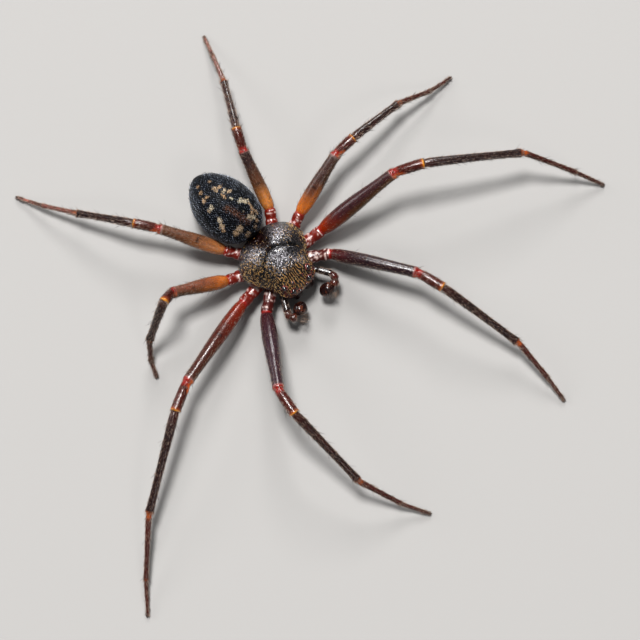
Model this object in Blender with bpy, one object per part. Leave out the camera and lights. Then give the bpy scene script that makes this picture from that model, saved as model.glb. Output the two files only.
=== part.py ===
"""A male crab spider, standing with its eight long legs spread flat, as a still, life-size model.

The animal faces -Y and stands on Z = 0, its left side at +X. Every piece is shaped in millimetres
round a middle line at X = 0 and brought to metres when it is finished. Last, the whole animal is moved
so that the origin lies on the floor under the middle of its footprint.
"""

import math

import bmesh
import bpy
from mathutils import Matrix, Vector
from mathutils.bvhtree import BVHTree

# Driving dimensions, in millimetres
MM = 0.001
GAP = 0.3  # left open between a limb or the abdomen and what it grows from
SMALL_GAP = 0.2  # the same, at the jaws
SPINNERET_GAP = 0.12
EYE_GAP = 0.03  # between an eye and its socket
THINNEST = 0.25  # least radius of a leg, except towards its foot

# Carapace, the upper shield of the cephalothorax
SHIELD_CENTRE_Y = -0.95
THORAX_Y = -0.6
THORAX_HALF_WIDTH = 1.72
THORAX_HALF_LENGTH = 1.26
HEAD_Y = -1.64
HEAD_HALF_WIDTH = 1.06
HEAD_HALF_LENGTH = 1.1
HEAD_FRONT_Y = HEAD_Y - HEAD_HALF_LENGTH
HEAD_SQUARENESS = 3.5
EDGE_SOFTNESS = 0.25  # how widely the corner between head and thorax is rounded
EDGE_SEARCH_STEPS = 24
RIM_Z = 1.3
DOME_HEIGHT = 1.15
DOME_STEEPNESS = 3.4  # larger holds the shield's height further out towards its rim
DOME_FULLNESS = 0.62  # smaller makes the rim's wall more upright
ROW_SPREAD = 0.8  # smaller crowds the rows of points together near the top
CREST = (  # height along the shield's middle line, as (y, share of the dome's height)
    (-3.0, 0.62),
    (-2.4, 0.7),
    (-1.7, 0.84),
    (-0.9, 0.95),
    (-0.3, 1.0),
    (0.0, 0.93),
    (0.3, 0.72),
    (0.7, 0.3),
)

# Swellings of the shield: a lobe on either side of the thorax, and the head
LOBE_HEIGHT = 0.17
LOBE_MIDDLE = (0.78, -0.2)  # x towards either side, y
LOBE_RADIUS = 0.6
HEAD_RISE = 0.12
HEAD_RISE_Y = -1.35
HEAD_RISE_RADIUS = 0.65

# Pit between the lobes and the head, with the valley that widens from it down the rear slope
PIT_Y = -0.5
PIT_DEPTH = 0.1
PIT_RADIUS = 0.15
VALLEY_DEPTH = 0.36
VALLEY_END_Y = 0.5
VALLEY_HALF_WIDTHS = (0.16, 0.46)  # at the pit and at its end

# Grooves that run from the pit forwards and outwards, and part the head from the lobes
GROOVE_SLOPE = 0.66  # how far they run forward for each step outwards
GROOVE_DEPTH = 0.12
GROOVE_WIDTH = 0.1
GROOVE_FADE = (1.0, 1.45)  # distance from the middle line over which they die out

# Underside, from the rim inwards: share of the rim's reach, then depth below the rim
LIP_DEPTH = 0.1
TRUNK_SHARE = 0.58  # reach of the trunk's wall, where the legs and palps grow
STERNUM_DEPTH = 0.82
UNDERSIDE = (
    (1.0, 0.0),
    (0.97, LIP_DEPTH / 2),
    (0.84, LIP_DEPTH),
    (0.66, 0.18),
    (TRUNK_SHARE, 0.34),
    (0.55, 0.6),
    (0.48, 0.78),
    (0.3, STERNUM_DEPTH),
    (0.0, STERNUM_DEPTH),
)

# Waist
WAIST_Z = 0.95
WAIST_RADIUS = 0.25
WAIST_START_Y = -0.3  # inside the thorax

# Abdomen
ABDOMEN_CENTRE = Vector((-0.11, 2.46, 1.58))
ABDOMEN_HALF_WIDTH = 1.35
ABDOMEN_HALF_LENGTH = 1.88
ABDOMEN_HALF_HEIGHT = 1.16
ABDOMEN_SWING = 0.06  # how far its rear end lies over to the right
ABDOMEN_FLATTENING = 0.94  # height of the lower half as a share of the upper
ABDOMEN_TAPER = (0.1, 0.17)  # how fast it narrows all along, and how fast towards the rear end
ABDOMEN_DROOP = 0.12  # how far its rear end sinks

# Legs, from the first pair to the fourth
HIP_BEARING = (55.0, 82.0, 112.0, 145.0)  # degrees from straight ahead, seen from the shield's centre
HIP_REACH = 2.44  # from the shield's centre to the base of each femur
COXA_Z = 0.76
COXA_SHARE = 0.62  # the coxa's share of the way from the trunk to the femur
TROCHANTER_SAG = 0.04
FEMUR_BASE_Z = 0.95
FOOT_Z = 0.1  # height of the middle of each foot
LENGTHS = (  # of femur, patella, tibia, metatarsus and tarsus
    (4.2, 1.3, 4.3, 2.2, 1.35),
    (4.6, 1.4, 4.8, 3.0, 1.55),
    (3.2, 1.05, 2.8, 1.8, 1.25),
    (3.05, 1.1, 2.7, 1.65, 1.25),
)
COXA_RADIUS = (0.32, 0.32, 0.31, 0.31)
TROCHANTER_SHARE = 0.95  # of the coxa's radius
FEMUR_RADIUS = (0.36, 0.38, 0.34, 0.33)
PATELLA_RADIUS = 0.26
TIBIA_RADIUS = 0.19
METATARSUS_RADIUS = 0.125
TARSUS_RADIUS = 0.1

# How each leg is held: the bearing of its five segments, in degrees from straight ahead towards the
# animal's own side, then the height of the four joints beyond the femur's base
STANCE = {
    "left": (
        ((32, 15, 12, -2, -5), (1.95, 2.1, 1.05, 0.5)),
        ((82, 62, 55, 32, 28), (2.8, 3.05, 2.15, 0.8)),
        ((104, 89, 87, 73, 84), (1.9, 2.0, 1.25, 0.5)),
        ((162, 154, 151, 159, 160), (1.85, 1.95, 1.0, 0.5)),
    ),
    "right": (
        ((34, 9, -1.5, -21, -29), (2.85, 3.0, 1.6, 0.55)),
        ((77, 64, 58, 46, 40), (1.9, 2.05, 1.1, 0.4)),
        ((116, 74, 70, 42, 24), (2.3, 3.05, 1.15, 0.3)),
        ((150, 144, 146, 149, 154), (1.7, 1.8, 1.0, 0.5)),
    ),
}
# Length of each leg against LENGTHS, as (first three segments, last two). The third right leg is much
# shorter than the left, because its outer segments look short from above
REACH = {
    "left": ((1.0, 0.95), (0.97, 0.97), (1.0, 1.0), (0.97, 0.9)),
    "right": ((1.0, 1.06), (1.0, 1.0), (0.9, 0.65), (1.05, 1.05)),
}
SIDES = {"left": 1, "right": -1}

# Thickness along each segment, as (share of its length, share of its radius)
COXA_FORM = ((0.0, 0.75), (0.3, 1.0), (0.75, 0.98), (1.0, 0.82))
TROCHANTER_FORM = ((0.4, 1.0), (0.8, 0.95), (1.0, 0.8))
FEMUR_FORM = ((0.06, 0.86), (0.18, 0.98), (0.32, 1.0), (0.5, 0.95), (0.7, 0.85), (0.88, 0.76), (0.97, 0.68))
PATELLA_FORM = ((0.12, 0.86), (0.4, 1.0), (0.75, 1.0), (0.95, 0.8))
TIBIA_FORM = ((0.05, 1.1), (0.2, 1.05), (0.5, 0.9), (0.8, 0.92), (0.95, 1.02))
METATARSUS_FORM = ((0.06, 1.1), (0.35, 1.0), (0.7, 0.94), (0.95, 1.0))
TARSUS_FORM = ((0.1, 1.0), (0.5, 0.95), (0.8, 0.8), (0.96, 0.7))
FORMS = (FEMUR_FORM, PATELLA_FORM, TIBIA_FORM, METATARSUS_FORM, TARSUS_FORM)
BOW = (0.035, 0.02, 0.025, 0.02, 0.0)  # how far each segment arches up, as a share of its length
ROUNDING = 0.22  # half the length over which a joint's bend is spread

# Palps, each ending in the swollen tarsus of a grown male. The base is followed by four joints, as
# (x towards its own side, y, z)
PALP_BEARING = 33.0
PALP_Z = 0.8
PALP_JOINTS = {
    "left": ((1.02, -2.42, 1.02), (1.42, -3.08, 1.08), (1.38, -3.36, 1.0), (1.12, -3.46, 0.92)),
    "right": ((0.95, -2.38, 1.02), (1.27, -2.97, 1.08), (1.38, -3.24, 1.0), (1.14, -3.38, 0.92)),
}
PALP_RADIUS = 0.19
PALP_FORM = ((0.05, 0.92), (0.5, 1.0), (0.92, 0.95))
BULB_RADIUS = 0.33
BULB_LENGTH = 0.4
BULB_MIDDLE = {"left": (0.78, -3.42, 0.82), "right": (0.74, -3.24, 0.82)}

# Jaws
JAW_SPREAD = 0.36  # from the middle line to the middle of each jaw
JAW_SET_BACK = 0.26  # from the front of the head
JAW_LENGTH = 0.74
JAW_RADIUS = 0.3
JAW_LEAN = 12.0  # degrees that the tip lies back from upright
JAW_BULGE = 0.12  # how far the front of each jaw swells forwards
JAW_BULGE_END = 0.77  # where the swelling ends, as a share of the jaw's length
JAW_FORM = ((0.0, 0.7), (0.12, 0.95), (0.35, 1.0), (0.65, 0.86), (0.88, 0.62), (1.0, 0.4))
FANG = (  # from the jaw's tip: towards the middle, back, up, radius
    (-0.06, 0.0, 0.1, 0.08),
    (-0.02, 0.02, -0.04, 0.07),
    (0.1, 0.08, -0.1, 0.045),
    (0.16, 0.12, -0.09, 0.02),
)

# Eyes: x, y and radius, for the front and back rows
EYES = {
    "anterior_median": (0.2, -2.68, 0.065),
    "anterior_lateral": (0.47, -2.56, 0.125),
    "posterior_median": (0.27, -2.28, 0.06),
    "posterior_lateral": (0.72, -2.2, 0.12),
}
EYE_SINK = 0.25  # how far a bead's middle lies under the surface, as a share of its radius
TUBERCLE_HEIGHT = 0.13
TUBERCLE_RADIUS = 0.17

# Spinnerets
SPINNERET_DROP = 30.0  # how far below the rear end of the abdomen they sit, in degrees
SPINNERET_MOUND = ((0.0, 0.27), (0.07, 0.27), (0.14, 0.21))  # height above the root, radius
SPINNERETS = ((0.1, 0.26), (-0.1, 0.22))  # place above or below the mound's middle, length
SPINNERET_SPREAD = 0.11
SPINNERET_LEAN = 1.5  # larger makes the cones more nearly parallel
SPINNERET_START = 0.08  # height on the mound at which a cone begins
SPINNERET_FORM = ((0.0, 0.12), (0.7, 0.1), (1.0, 0.055))  # share of its length, radius

# Colour and roughness of each material
MATERIALS = {
    "shell_black": ((0.028, 0.024, 0.024), 0.45),
    "abdomen_blue_black": ((0.018, 0.022, 0.03), 0.6),
    "leg_red_brown": ((0.12, 0.025, 0.015), 0.3),
    "leg_amber": ((0.42, 0.12, 0.03), 0.3),
    "palp_dark_red": ((0.07, 0.014, 0.012), 0.3),
    "jaw_brown": ((0.035, 0.01, 0.008), 0.25),
    "eye_black": ((0.01, 0.008, 0.01), 0.08),
}

# Fineness of the meshes, as (columns, rows) of the balls that they are shaped from
SHIELD_MESH = (60, 40)
ABDOMEN_MESH = (36, 24)
EYE_MESH = (12, 8)
BULB_MESH = (18, 12)
TUBE_SIDES = 3  # bevel resolution, which gives ten sides
WELD = 1e-4
ABOVE = 6.0  # higher than any part of the animal


def clear_scene():
    for item in list(bpy.data.objects):
        bpy.data.objects.remove(item, do_unlink=True)


def make_material(name, colour, roughness):
    material = bpy.data.materials.new(name)
    material.use_nodes = True
    shader = material.node_tree.nodes["Principled BSDF"]
    shader.inputs["Base Color"].default_value = (*colour, 1.0)
    shader.inputs["Roughness"].default_value = roughness
    shader.inputs["Metallic"].default_value = 0.0
    return material


def heading(degrees, side=1):
    """The level direction that many degrees round from straight ahead, towards a side."""
    turn = math.radians(degrees)
    return Vector((side * math.sin(turn), -math.cos(turn), 0.0))


def blend_larger(a, b, softness):
    """The larger of two values, with the step between them rounded."""
    spread = max(softness - abs(a - b), 0.0) / softness
    return max(a, b) + spread * spread * softness / 4


def smooth_step(start, end, value):
    """0 before start, 1 beyond end, and a smooth rise between them."""
    t = min(max((value - start) / (end - start), 0.0), 1.0)
    return t * t * (3 - 2 * t)


def bell(distance, width):
    return math.exp(-((distance / width) ** 2))


def add_object(name, mesh, collection):
    item = bpy.data.objects.new(name, mesh)
    collection.objects.link(item)
    return item


def finish(item, material):
    """Brings a piece to metres, turns its faces outwards and gives it its material."""
    mesh = item.data
    mesh.transform(Matrix.Scale(MM, 4))
    shape = bmesh.new()
    shape.from_mesh(mesh)
    bmesh.ops.triangulate(shape, faces=shape.faces)
    bmesh.ops.recalc_face_normals(shape, faces=shape.faces)
    shape.to_mesh(mesh)
    shape.free()
    mesh.materials.clear()
    mesh.materials.append(material)
    mesh.shade_smooth()
    return item


def sphere_mesh(name, fineness, place):
    """A unit sphere whose points are each moved by place, as one closed mesh."""
    shape = bmesh.new()
    bmesh.ops.create_uvsphere(shape, u_segments=fineness[0], v_segments=fineness[1], radius=1.0)
    for point in shape.verts:
        point.co = place(point.co)
    mesh = bpy.data.meshes.new(name)
    shape.to_mesh(mesh)
    shape.free()
    return mesh


def tube_mesh(name, stations):
    """A round tube through (point, radius) stations, made from a bevelled curve with its caps welded."""
    data = bpy.data.curves.new(name, "CURVE")
    data.dimensions = "3D"
    data.bevel_depth = 1.0
    data.bevel_resolution = TUBE_SIDES
    data.use_fill_caps = True
    spline = data.splines.new("POLY")
    spline.points.add(len(stations) - 1)
    for knot, (place, radius) in zip(spline.points, stations):
        knot.co = (*place, 1.0)
        knot.radius = radius
    guide = bpy.data.objects.new(name, data)
    bpy.context.scene.collection.objects.link(guide)
    graph = bpy.context.evaluated_depsgraph_get()
    mesh = bpy.data.meshes.new_from_object(guide.evaluated_get(graph))
    bpy.data.objects.remove(guide, do_unlink=True)
    bpy.data.curves.remove(data)
    shape = bmesh.new()
    shape.from_mesh(mesh)
    bmesh.ops.remove_doubles(shape, verts=shape.verts, dist=WELD)
    bmesh.ops.recalc_face_normals(shape, faces=shape.faces)
    shape.to_mesh(mesh)
    shape.free()
    return mesh


def apply_modifier(item):
    """Replaces an object's mesh by what its modifiers make of it."""
    graph = bpy.context.evaluated_depsgraph_get()
    made = bpy.data.meshes.new_from_object(item.evaluated_get(graph))
    item.modifiers.clear()
    item.data = made


def keep_largest(mesh):
    """Leaves only the largest closed surface of a mesh."""
    shape = bmesh.new()
    shape.from_mesh(mesh)
    unseen = set(shape.verts)
    groups = []
    while unseen:
        group = set()
        edge_of_group = [unseen.pop()]
        while edge_of_group:
            point = edge_of_group.pop()
            group.add(point)
            for edge in point.link_edges:
                other = edge.other_vert(point)
                if other in unseen:
                    unseen.discard(other)
                    edge_of_group.append(other)
        groups.append(group)
    largest = max(groups, key=len)
    loose = [point for group in groups if group is not largest for point in group]
    bmesh.ops.delete(shape, geom=loose, context="VERTS")
    shape.to_mesh(mesh)
    shape.free()


def combine(item, meshes, operation):
    """One Boolean of an object with a collection of closed meshes."""
    tools = bpy.data.collections.new(item.name + "_tools")
    bpy.context.scene.collection.children.link(tools)
    for mesh in meshes:
        tool = add_object(item.name + "_tool", mesh, tools)
        tool.hide_render = True
        tool.display_type = "WIRE"
    step = item.modifiers.new("combine", "BOOLEAN")
    step.operation = operation
    step.operand_type = "COLLECTION"
    step.collection = tools
    step.solver = "EXACT"
    apply_modifier(item)
    for tool in list(tools.objects):
        bpy.data.objects.remove(tool, do_unlink=True)
    bpy.data.collections.remove(tools)
    keep_largest(item.data)


def cut_at_floor(mesh):
    """Cuts off what lies under Z = 0 and closes the cut, which leaves a small flat to stand on."""
    shape = bmesh.new()
    shape.from_mesh(mesh)
    geometry = shape.verts[:] + shape.edges[:] + shape.faces[:]
    found = bmesh.ops.bisect_plane(
        shape, geom=geometry, dist=WELD / 10, plane_co=(0, 0, 0), plane_no=(0, 0, -1), clear_outer=True
    )
    rim = [part for part in found["geom_cut"] if isinstance(part, bmesh.types.BMEdge)]
    bmesh.ops.holes_fill(shape, edges=rim, sides=0)
    shape.to_mesh(mesh)
    shape.free()


# Cephalothorax


def thorax_edge(bearing):
    """Distance from the shield's centre to the round thorax's edge, at a bearing in radians."""
    ahead = math.cos(bearing)
    across = math.sin(bearing)
    offset = THORAX_Y - SHIELD_CENTRE_Y
    a = (across / THORAX_HALF_WIDTH) ** 2 + (ahead / THORAX_HALF_LENGTH) ** 2
    b = 2 * ahead * offset / THORAX_HALF_LENGTH**2
    c = (offset / THORAX_HALF_LENGTH) ** 2 - 1
    return (-b + math.sqrt(b * b - 4 * a * c)) / (2 * a)


def head_edge(bearing):
    """The same for the square-fronted head. Behind the head's own middle it says nothing."""
    ahead = math.cos(bearing)
    across = abs(math.sin(bearing))
    reach = SHIELD_CENTRE_Y - HEAD_Y
    low, high = 0.0, 2 * (HEAD_HALF_LENGTH + reach)
    for _ in range(EDGE_SEARCH_STEPS):
        middle = (low + high) / 2
        side = across * middle / HEAD_HALF_WIDTH
        front = max(ahead * middle - reach, 0.0) / HEAD_HALF_LENGTH
        if side**HEAD_SQUARENESS + front**HEAD_SQUARENESS < 1:
            low = middle
        else:
            high = middle
    return low if ahead > 0 else 0.0


def shield_edge(bearing):
    return blend_larger(thorax_edge(bearing), head_edge(bearing), EDGE_SOFTNESS)


def crest(y):
    """Height of the shield along its middle, as a share of its greatest height."""
    if y <= CREST[0][0]:
        return CREST[0][1]
    for (y0, h0), (y1, h1) in zip(CREST, CREST[1:]):
        if y <= y1:
            return h0 + (h1 - h0) * smooth_step(y0, y1, y)
    return CREST[-1][1]


def swellings(x, y):
    """Height of the two lobes and of the head above the plain dome."""
    lobe_x, lobe_y = LOBE_MIDDLE
    lobes = LOBE_HEIGHT * bell(math.hypot(abs(x) - lobe_x, y - lobe_y), LOBE_RADIUS)
    return lobes + HEAD_RISE * bell(math.hypot(x, y - HEAD_RISE_Y), HEAD_RISE_RADIUS)


def hollows(x, y):
    """Depth of the pit, of the valley behind it and of the two grooves between head and lobes."""
    pit = PIT_DEPTH * bell(math.hypot(x, y - PIT_Y), PIT_RADIUS)
    behind = smooth_step(PIT_Y, VALLEY_END_Y, y)
    narrow, wide = VALLEY_HALF_WIDTHS
    valley = VALLEY_DEPTH * behind * bell(x, narrow + (wide - narrow) * behind)
    off_groove = (y - PIT_Y + GROOVE_SLOPE * abs(x)) / math.hypot(1, GROOVE_SLOPE)
    fading = 1 - smooth_step(*GROOVE_FADE, abs(x))
    return pit + valley + GROOVE_DEPTH * bell(off_groove, GROOVE_WIDTH) * fading


def tubercles(x, y):
    """Height of the four mounds that carry the larger eyes."""
    rise = 0.0
    for row in ("anterior_lateral", "posterior_lateral"):
        eye_x, eye_y, _ = EYES[row]
        rise += TUBERCLE_HEIGHT * bell(math.hypot(abs(x) - eye_x, y - eye_y), TUBERCLE_RADIUS)
    return rise


def underside(t):
    """(share of the rim's reach, depth below the rim), t going from the rim to the middle of the belly."""
    steps = len(UNDERSIDE) - 1
    index = min(int(t * steps), steps - 1)
    reach, depth = UNDERSIDE[index]
    next_reach, next_depth = UNDERSIDE[index + 1]
    part = t * steps - index
    return reach + (next_reach - reach) * part, depth + (next_depth - depth) * part


def cephalothorax_point(unit):
    """Where a point of the unit sphere lies on the shield above or the breastplate below."""
    bearing = math.atan2(unit.x, -unit.y)
    edge = shield_edge(bearing)
    level = math.hypot(unit.x, unit.y)
    out = Vector((math.sin(bearing), -math.cos(bearing), 0.0))
    angle = math.atan2(unit.z, level) / (math.pi / 2)
    if angle >= 0:
        share = math.cos(angle * math.pi / 2) ** ROW_SPREAD
        x, y, _ = out * edge * share
        y += SHIELD_CENTRE_Y
        swell = (1 - share**DOME_STEEPNESS) ** DOME_FULLNESS
        height = DOME_HEIGHT * crest(y) + swellings(x, y) + tubercles(x, y) - hollows(x, y)
        return Vector((x, y, RIM_Z + height * swell))
    share, depth = underside(-angle)
    place = out * edge * share
    return Vector((place.x, place.y + SHIELD_CENTRE_Y, RIM_Z - depth))


def on_surface(tree, x, y):
    """The point of the shield at a place seen from above, with its outward direction."""
    place, normal, _, _ = tree.ray_cast(Vector((x, y, ABOVE)), Vector((0, 0, -1)))
    return place, normal


def make_cephalothorax(collection):
    """The shield and trunk, with the waist that reaches back towards the abdomen."""
    mesh = sphere_mesh("cephalothorax", SHIELD_MESH, cephalothorax_point)
    item = add_object("cephalothorax", mesh, collection)
    end = abdomen_front(WAIST_Z + WAIST_RADIUS) - GAP
    waist = [(Vector((0, y, WAIST_Z)), WAIST_RADIUS) for y in (WAIST_START_Y, end)]
    combine(item, [tube_mesh("waist", waist)], "UNION")
    return item


def make_eyes(shield, collection, material):
    """Eight eyes, each a bead in a socket cut out of the shield."""
    shape = bmesh.new()
    shape.from_mesh(shield.data)
    tree = BVHTree.FromBMesh(shape)
    shape.free()
    sockets = []
    eyes = []
    for row, (across, y, radius) in EYES.items():
        for side, sign in SIDES.items():
            place, normal = on_surface(tree, sign * across, y)
            turned = normal.to_track_quat("Z", "Y").to_matrix().to_4x4()
            seat = Matrix.Translation(place - normal * radius * EYE_SINK) @ turned
            name = "eye_" + row + "_" + side
            bead = sphere_mesh(name, EYE_MESH, lambda unit: seat @ (unit * radius))
            hole = radius + EYE_GAP
            sockets.append(sphere_mesh(name + "_socket", EYE_MESH, lambda unit: seat @ (unit * hole)))
            eyes.append(add_object(name, bead, collection))
    combine(shield, sockets, "DIFFERENCE")
    for eye in eyes:
        finish(eye, material)


# Abdomen and spinnerets


def abdomen_point(unit):
    """An egg, blunt in front, pointed at the rear and flattened below."""
    along = unit.y
    broad = 1.0 - ABDOMEN_TAPER[0] * along - ABDOMEN_TAPER[1] * along**3
    low = ABDOMEN_FLATTENING if unit.z < 0 else 1.0
    x = unit.x * ABDOMEN_HALF_WIDTH * broad - along * ABDOMEN_SWING
    y = along * ABDOMEN_HALF_LENGTH
    z = unit.z * ABDOMEN_HALF_HEIGHT * low * min(broad, 1.0) - max(along, 0.0) ** 2 * ABDOMEN_DROOP
    return ABDOMEN_CENTRE + Vector((x, y, z))


def abdomen_front(z):
    """The y of the abdomen's front at a height below its middle."""
    below = (ABDOMEN_CENTRE.z - z) / (ABDOMEN_HALF_HEIGHT * ABDOMEN_FLATTENING)
    return ABDOMEN_CENTRE.y - ABDOMEN_HALF_LENGTH * math.sqrt(1 - below**2)


def make_abdomen(collection):
    return add_object("abdomen", sphere_mesh("abdomen", ABDOMEN_MESH, abdomen_point), collection)


def make_spinnerets(collection):
    """Two pairs of short cones on one low mound under the tip of the abdomen."""
    drop = math.radians(SPINNERET_DROP)
    unit = Vector((0, math.cos(drop), -math.sin(drop)))
    lean = Vector((0, unit.y / ABDOMEN_HALF_LENGTH, unit.z / ABDOMEN_HALF_HEIGHT)).normalized()
    root = abdomen_point(unit) + lean * SPINNERET_GAP
    mound = [(root + lean * height, radius) for height, radius in SPINNERET_MOUND]
    item = add_object("spinnerets", tube_mesh("mound", mound), collection)
    cones = []
    for sign in SIDES.values():
        for rise, length in SPINNERETS:
            place = Vector((sign * SPINNERET_SPREAD, 0, rise))
            start = root + place + lean * SPINNERET_START
            way = (lean * SPINNERET_LEAN + place).normalized()
            stations = [(start + way * length * share, radius) for share, radius in SPINNERET_FORM]
            cones.append(tube_mesh("cone", stations))
    combine(item, cones, "UNION")
    return item


# Legs and palps


def joints_of(start, bearings, heights, lengths, side):
    """The joints of a limb, each reached by its bearing, its length and the height of its far end."""
    joints = [start]
    for bearing, height, length in zip(bearings, heights, lengths):
        climb = height - joints[-1].z
        level = math.sqrt(max(length * length - climb * climb, 0.0))
        step = heading(bearing, side) * level
        joints.append(joints[-1] + step + Vector((0, 0, climb)))
    return joints


def bowed_point(joints, bows, distance):
    """The point that many millimetres along a limb whose segments arch up a little."""
    for index, (start, end) in enumerate(zip(joints, joints[1:])):
        length = (end - start).length
        if distance <= length or index == len(joints) - 2:
            t = min(max(distance / length, 0.0), 1.0)
            arch = 4 * t * (1 - t) * bows[index] * length
            return start.lerp(end, t) + Vector((0, 0, arch))
        distance -= length
    return joints[-1]


def rounded_point(joints, bows, distance, total):
    """The same point with each joint's bend spread over a short way on either side of it."""
    reach = min(ROUNDING, distance, total - distance)
    shifts = (-1.0, -0.5, 0.0, 0.5, 1.0)
    points = [bowed_point(joints, bows, distance + shift * reach) for shift in shifts]
    return sum(points, Vector()) / len(points)


def limb_stations(joints, bows, forms, radii, least):
    """(point, radius) along a limb, whose least radius fades out over its last segment."""
    lengths = [(end - start).length for start, end in zip(joints, joints[1:])]
    total = sum(lengths)
    stations = []
    passed = 0.0
    for index, (length, form, radius) in enumerate(zip(lengths, forms, radii)):
        for share, thickness in form:
            fade = share if index == len(forms) - 1 else 0.0
            floor = least + (radius - least) * fade
            place = rounded_point(joints, bows, passed + share * length, total)
            stations.append((place, max(radius * thickness, floor)))
        passed += length
    return stations


def beside_trunk(bearing, sign, height):
    """Where a limb begins, one gap outside the trunk's wall."""
    wall = shield_edge(math.radians(bearing)) * TRUNK_SHARE
    return Vector((0, SHIELD_CENTRE_Y, height)) + heading(bearing, sign) * (wall + GAP)


def make_leg(pair, side, collection):
    sign = SIDES[side]
    bearings, heights = STANCE[side][pair]
    inner, outer = REACH[side][pair]
    lengths = [length * (inner if index < 3 else outer) for index, length in enumerate(LENGTHS[pair])]
    coxa_start = beside_trunk(HIP_BEARING[pair], sign, COXA_Z)
    femur_base = Vector((0, SHIELD_CENTRE_Y, FEMUR_BASE_Z)) + heading(HIP_BEARING[pair], sign) * HIP_REACH
    trochanter = coxa_start.lerp(femur_base, COXA_SHARE) - Vector((0, 0, TROCHANTER_SAG))
    beyond = joints_of(femur_base, bearings, (*heights, FOOT_Z), lengths, sign)
    joints = [coxa_start, trochanter, *beyond]
    radii = (
        COXA_RADIUS[pair],
        COXA_RADIUS[pair] * TROCHANTER_SHARE,
        FEMUR_RADIUS[pair],
        PATELLA_RADIUS,
        TIBIA_RADIUS,
        METATARSUS_RADIUS,
        TARSUS_RADIUS,
    )
    forms = (COXA_FORM, TROCHANTER_FORM, *FORMS)
    stations = limb_stations(joints, (0.0, 0.0, *BOW), forms, radii, THINNEST)
    name = "leg_" + str(pair + 1) + "_" + side
    mesh = tube_mesh(name, stations)
    cut_at_floor(mesh)
    return add_object(name, mesh, collection)


def make_palp(side, collection):
    sign = SIDES[side]
    mirror = Vector((sign, 1, 1))
    joints = [beside_trunk(PALP_BEARING, sign, PALP_Z)]
    joints += [Vector(joint) * mirror for joint in PALP_JOINTS[side]]
    count = len(joints) - 1
    forms = (PALP_FORM,) * count
    stations = limb_stations(joints, (0.0,) * count, forms, (PALP_RADIUS,) * count, 0.0)
    name = "palp_" + side
    item = add_object(name, tube_mesh(name, stations), collection)
    centre = Vector(BULB_MIDDLE[side]) * mirror
    way = centre - joints[-1]
    seat = Matrix.Translation(centre) @ way.to_track_quat("Z", "Y").to_matrix().to_4x4()

    def bulb_point(unit):
        return seat @ Vector((unit.x * BULB_RADIUS, unit.y * BULB_RADIUS, unit.z * BULB_LENGTH))

    combine(item, [sphere_mesh(name + "_bulb", BULB_MESH, bulb_point)], "UNION")
    return item


def make_jaw(side, collection):
    """A stout cone that hangs under the front of the head, with a short fang folded across its tip."""
    sign = SIDES[side]
    top = Vector((sign * JAW_SPREAD, HEAD_FRONT_Y + JAW_SET_BACK, RIM_Z - LIP_DEPTH - SMALL_GAP))
    lean = math.radians(JAW_LEAN)
    way = Vector((0, math.sin(lean), -math.cos(lean)))
    stations = []
    for share, thickness in JAW_FORM:
        bulge = JAW_BULGE * math.sin(math.pi * min(share / JAW_BULGE_END, 1.0))
        stations.append((top + way * JAW_LENGTH * share - Vector((0, bulge, 0)), JAW_RADIUS * thickness))
    name = "chelicera_" + side
    item = add_object(name, tube_mesh(name, stations), collection)
    tip = stations[-1][0]
    fang = [(tip + Vector((-sign * inwards, back, up)), radius) for inwards, back, up, radius in FANG]
    combine(item, [tube_mesh(name + "_fang", fang)], "UNION")
    return item


def centre_footprint(pieces):
    """Moves every piece alike, so that the origin is on the floor under the middle of them all."""
    corners = [point.co for piece in pieces for point in piece.data.vertices]
    middle = [(min(c[axis] for c in corners) + max(c[axis] for c in corners)) / 2 for axis in (0, 1)]
    shift = Matrix.Translation((-middle[0], -middle[1], 0.0))
    for piece in pieces:
        piece.data.transform(shift)


def build():
    clear_scene()
    spider = bpy.data.collections.new("crab_spider")
    bpy.context.scene.collection.children.link(spider)
    materials = {name: make_material(name, *values) for name, values in MATERIALS.items()}

    shield = make_cephalothorax(spider)
    make_eyes(shield, spider, materials["eye_black"])
    finish(shield, materials["shell_black"])
    finish(make_abdomen(spider), materials["abdomen_blue_black"])
    finish(make_spinnerets(spider), materials["abdomen_blue_black"])
    for side in SIDES:
        for pair in range(len(LENGTHS)):
            finish(make_leg(pair, side, spider), materials["leg_red_brown" if pair < 2 else "leg_amber"])
        finish(make_palp(side, spider), materials["palp_dark_red"])
        finish(make_jaw(side, spider), materials["jaw_brown"])
    centre_footprint(spider.objects)


build()
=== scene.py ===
# %% [markdown]
# A male crab spider, life size: a body of seven millimetres between eight legs that reach nearly
# thirty. This lesson dresses plain solids with a grained black shield, a blue-black abdomen with gold
# spots, glossy red and amber legs, and thousands of short hairs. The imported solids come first, because
# they fix the size, the pose and the frame, and every piece made here has to lie where they are.

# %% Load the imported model
import math
import random

import bmesh
import bpy
import numpy as np
from mathutils import Matrix, Vector, noise
from mathutils.bvhtree import BVHTree


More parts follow.
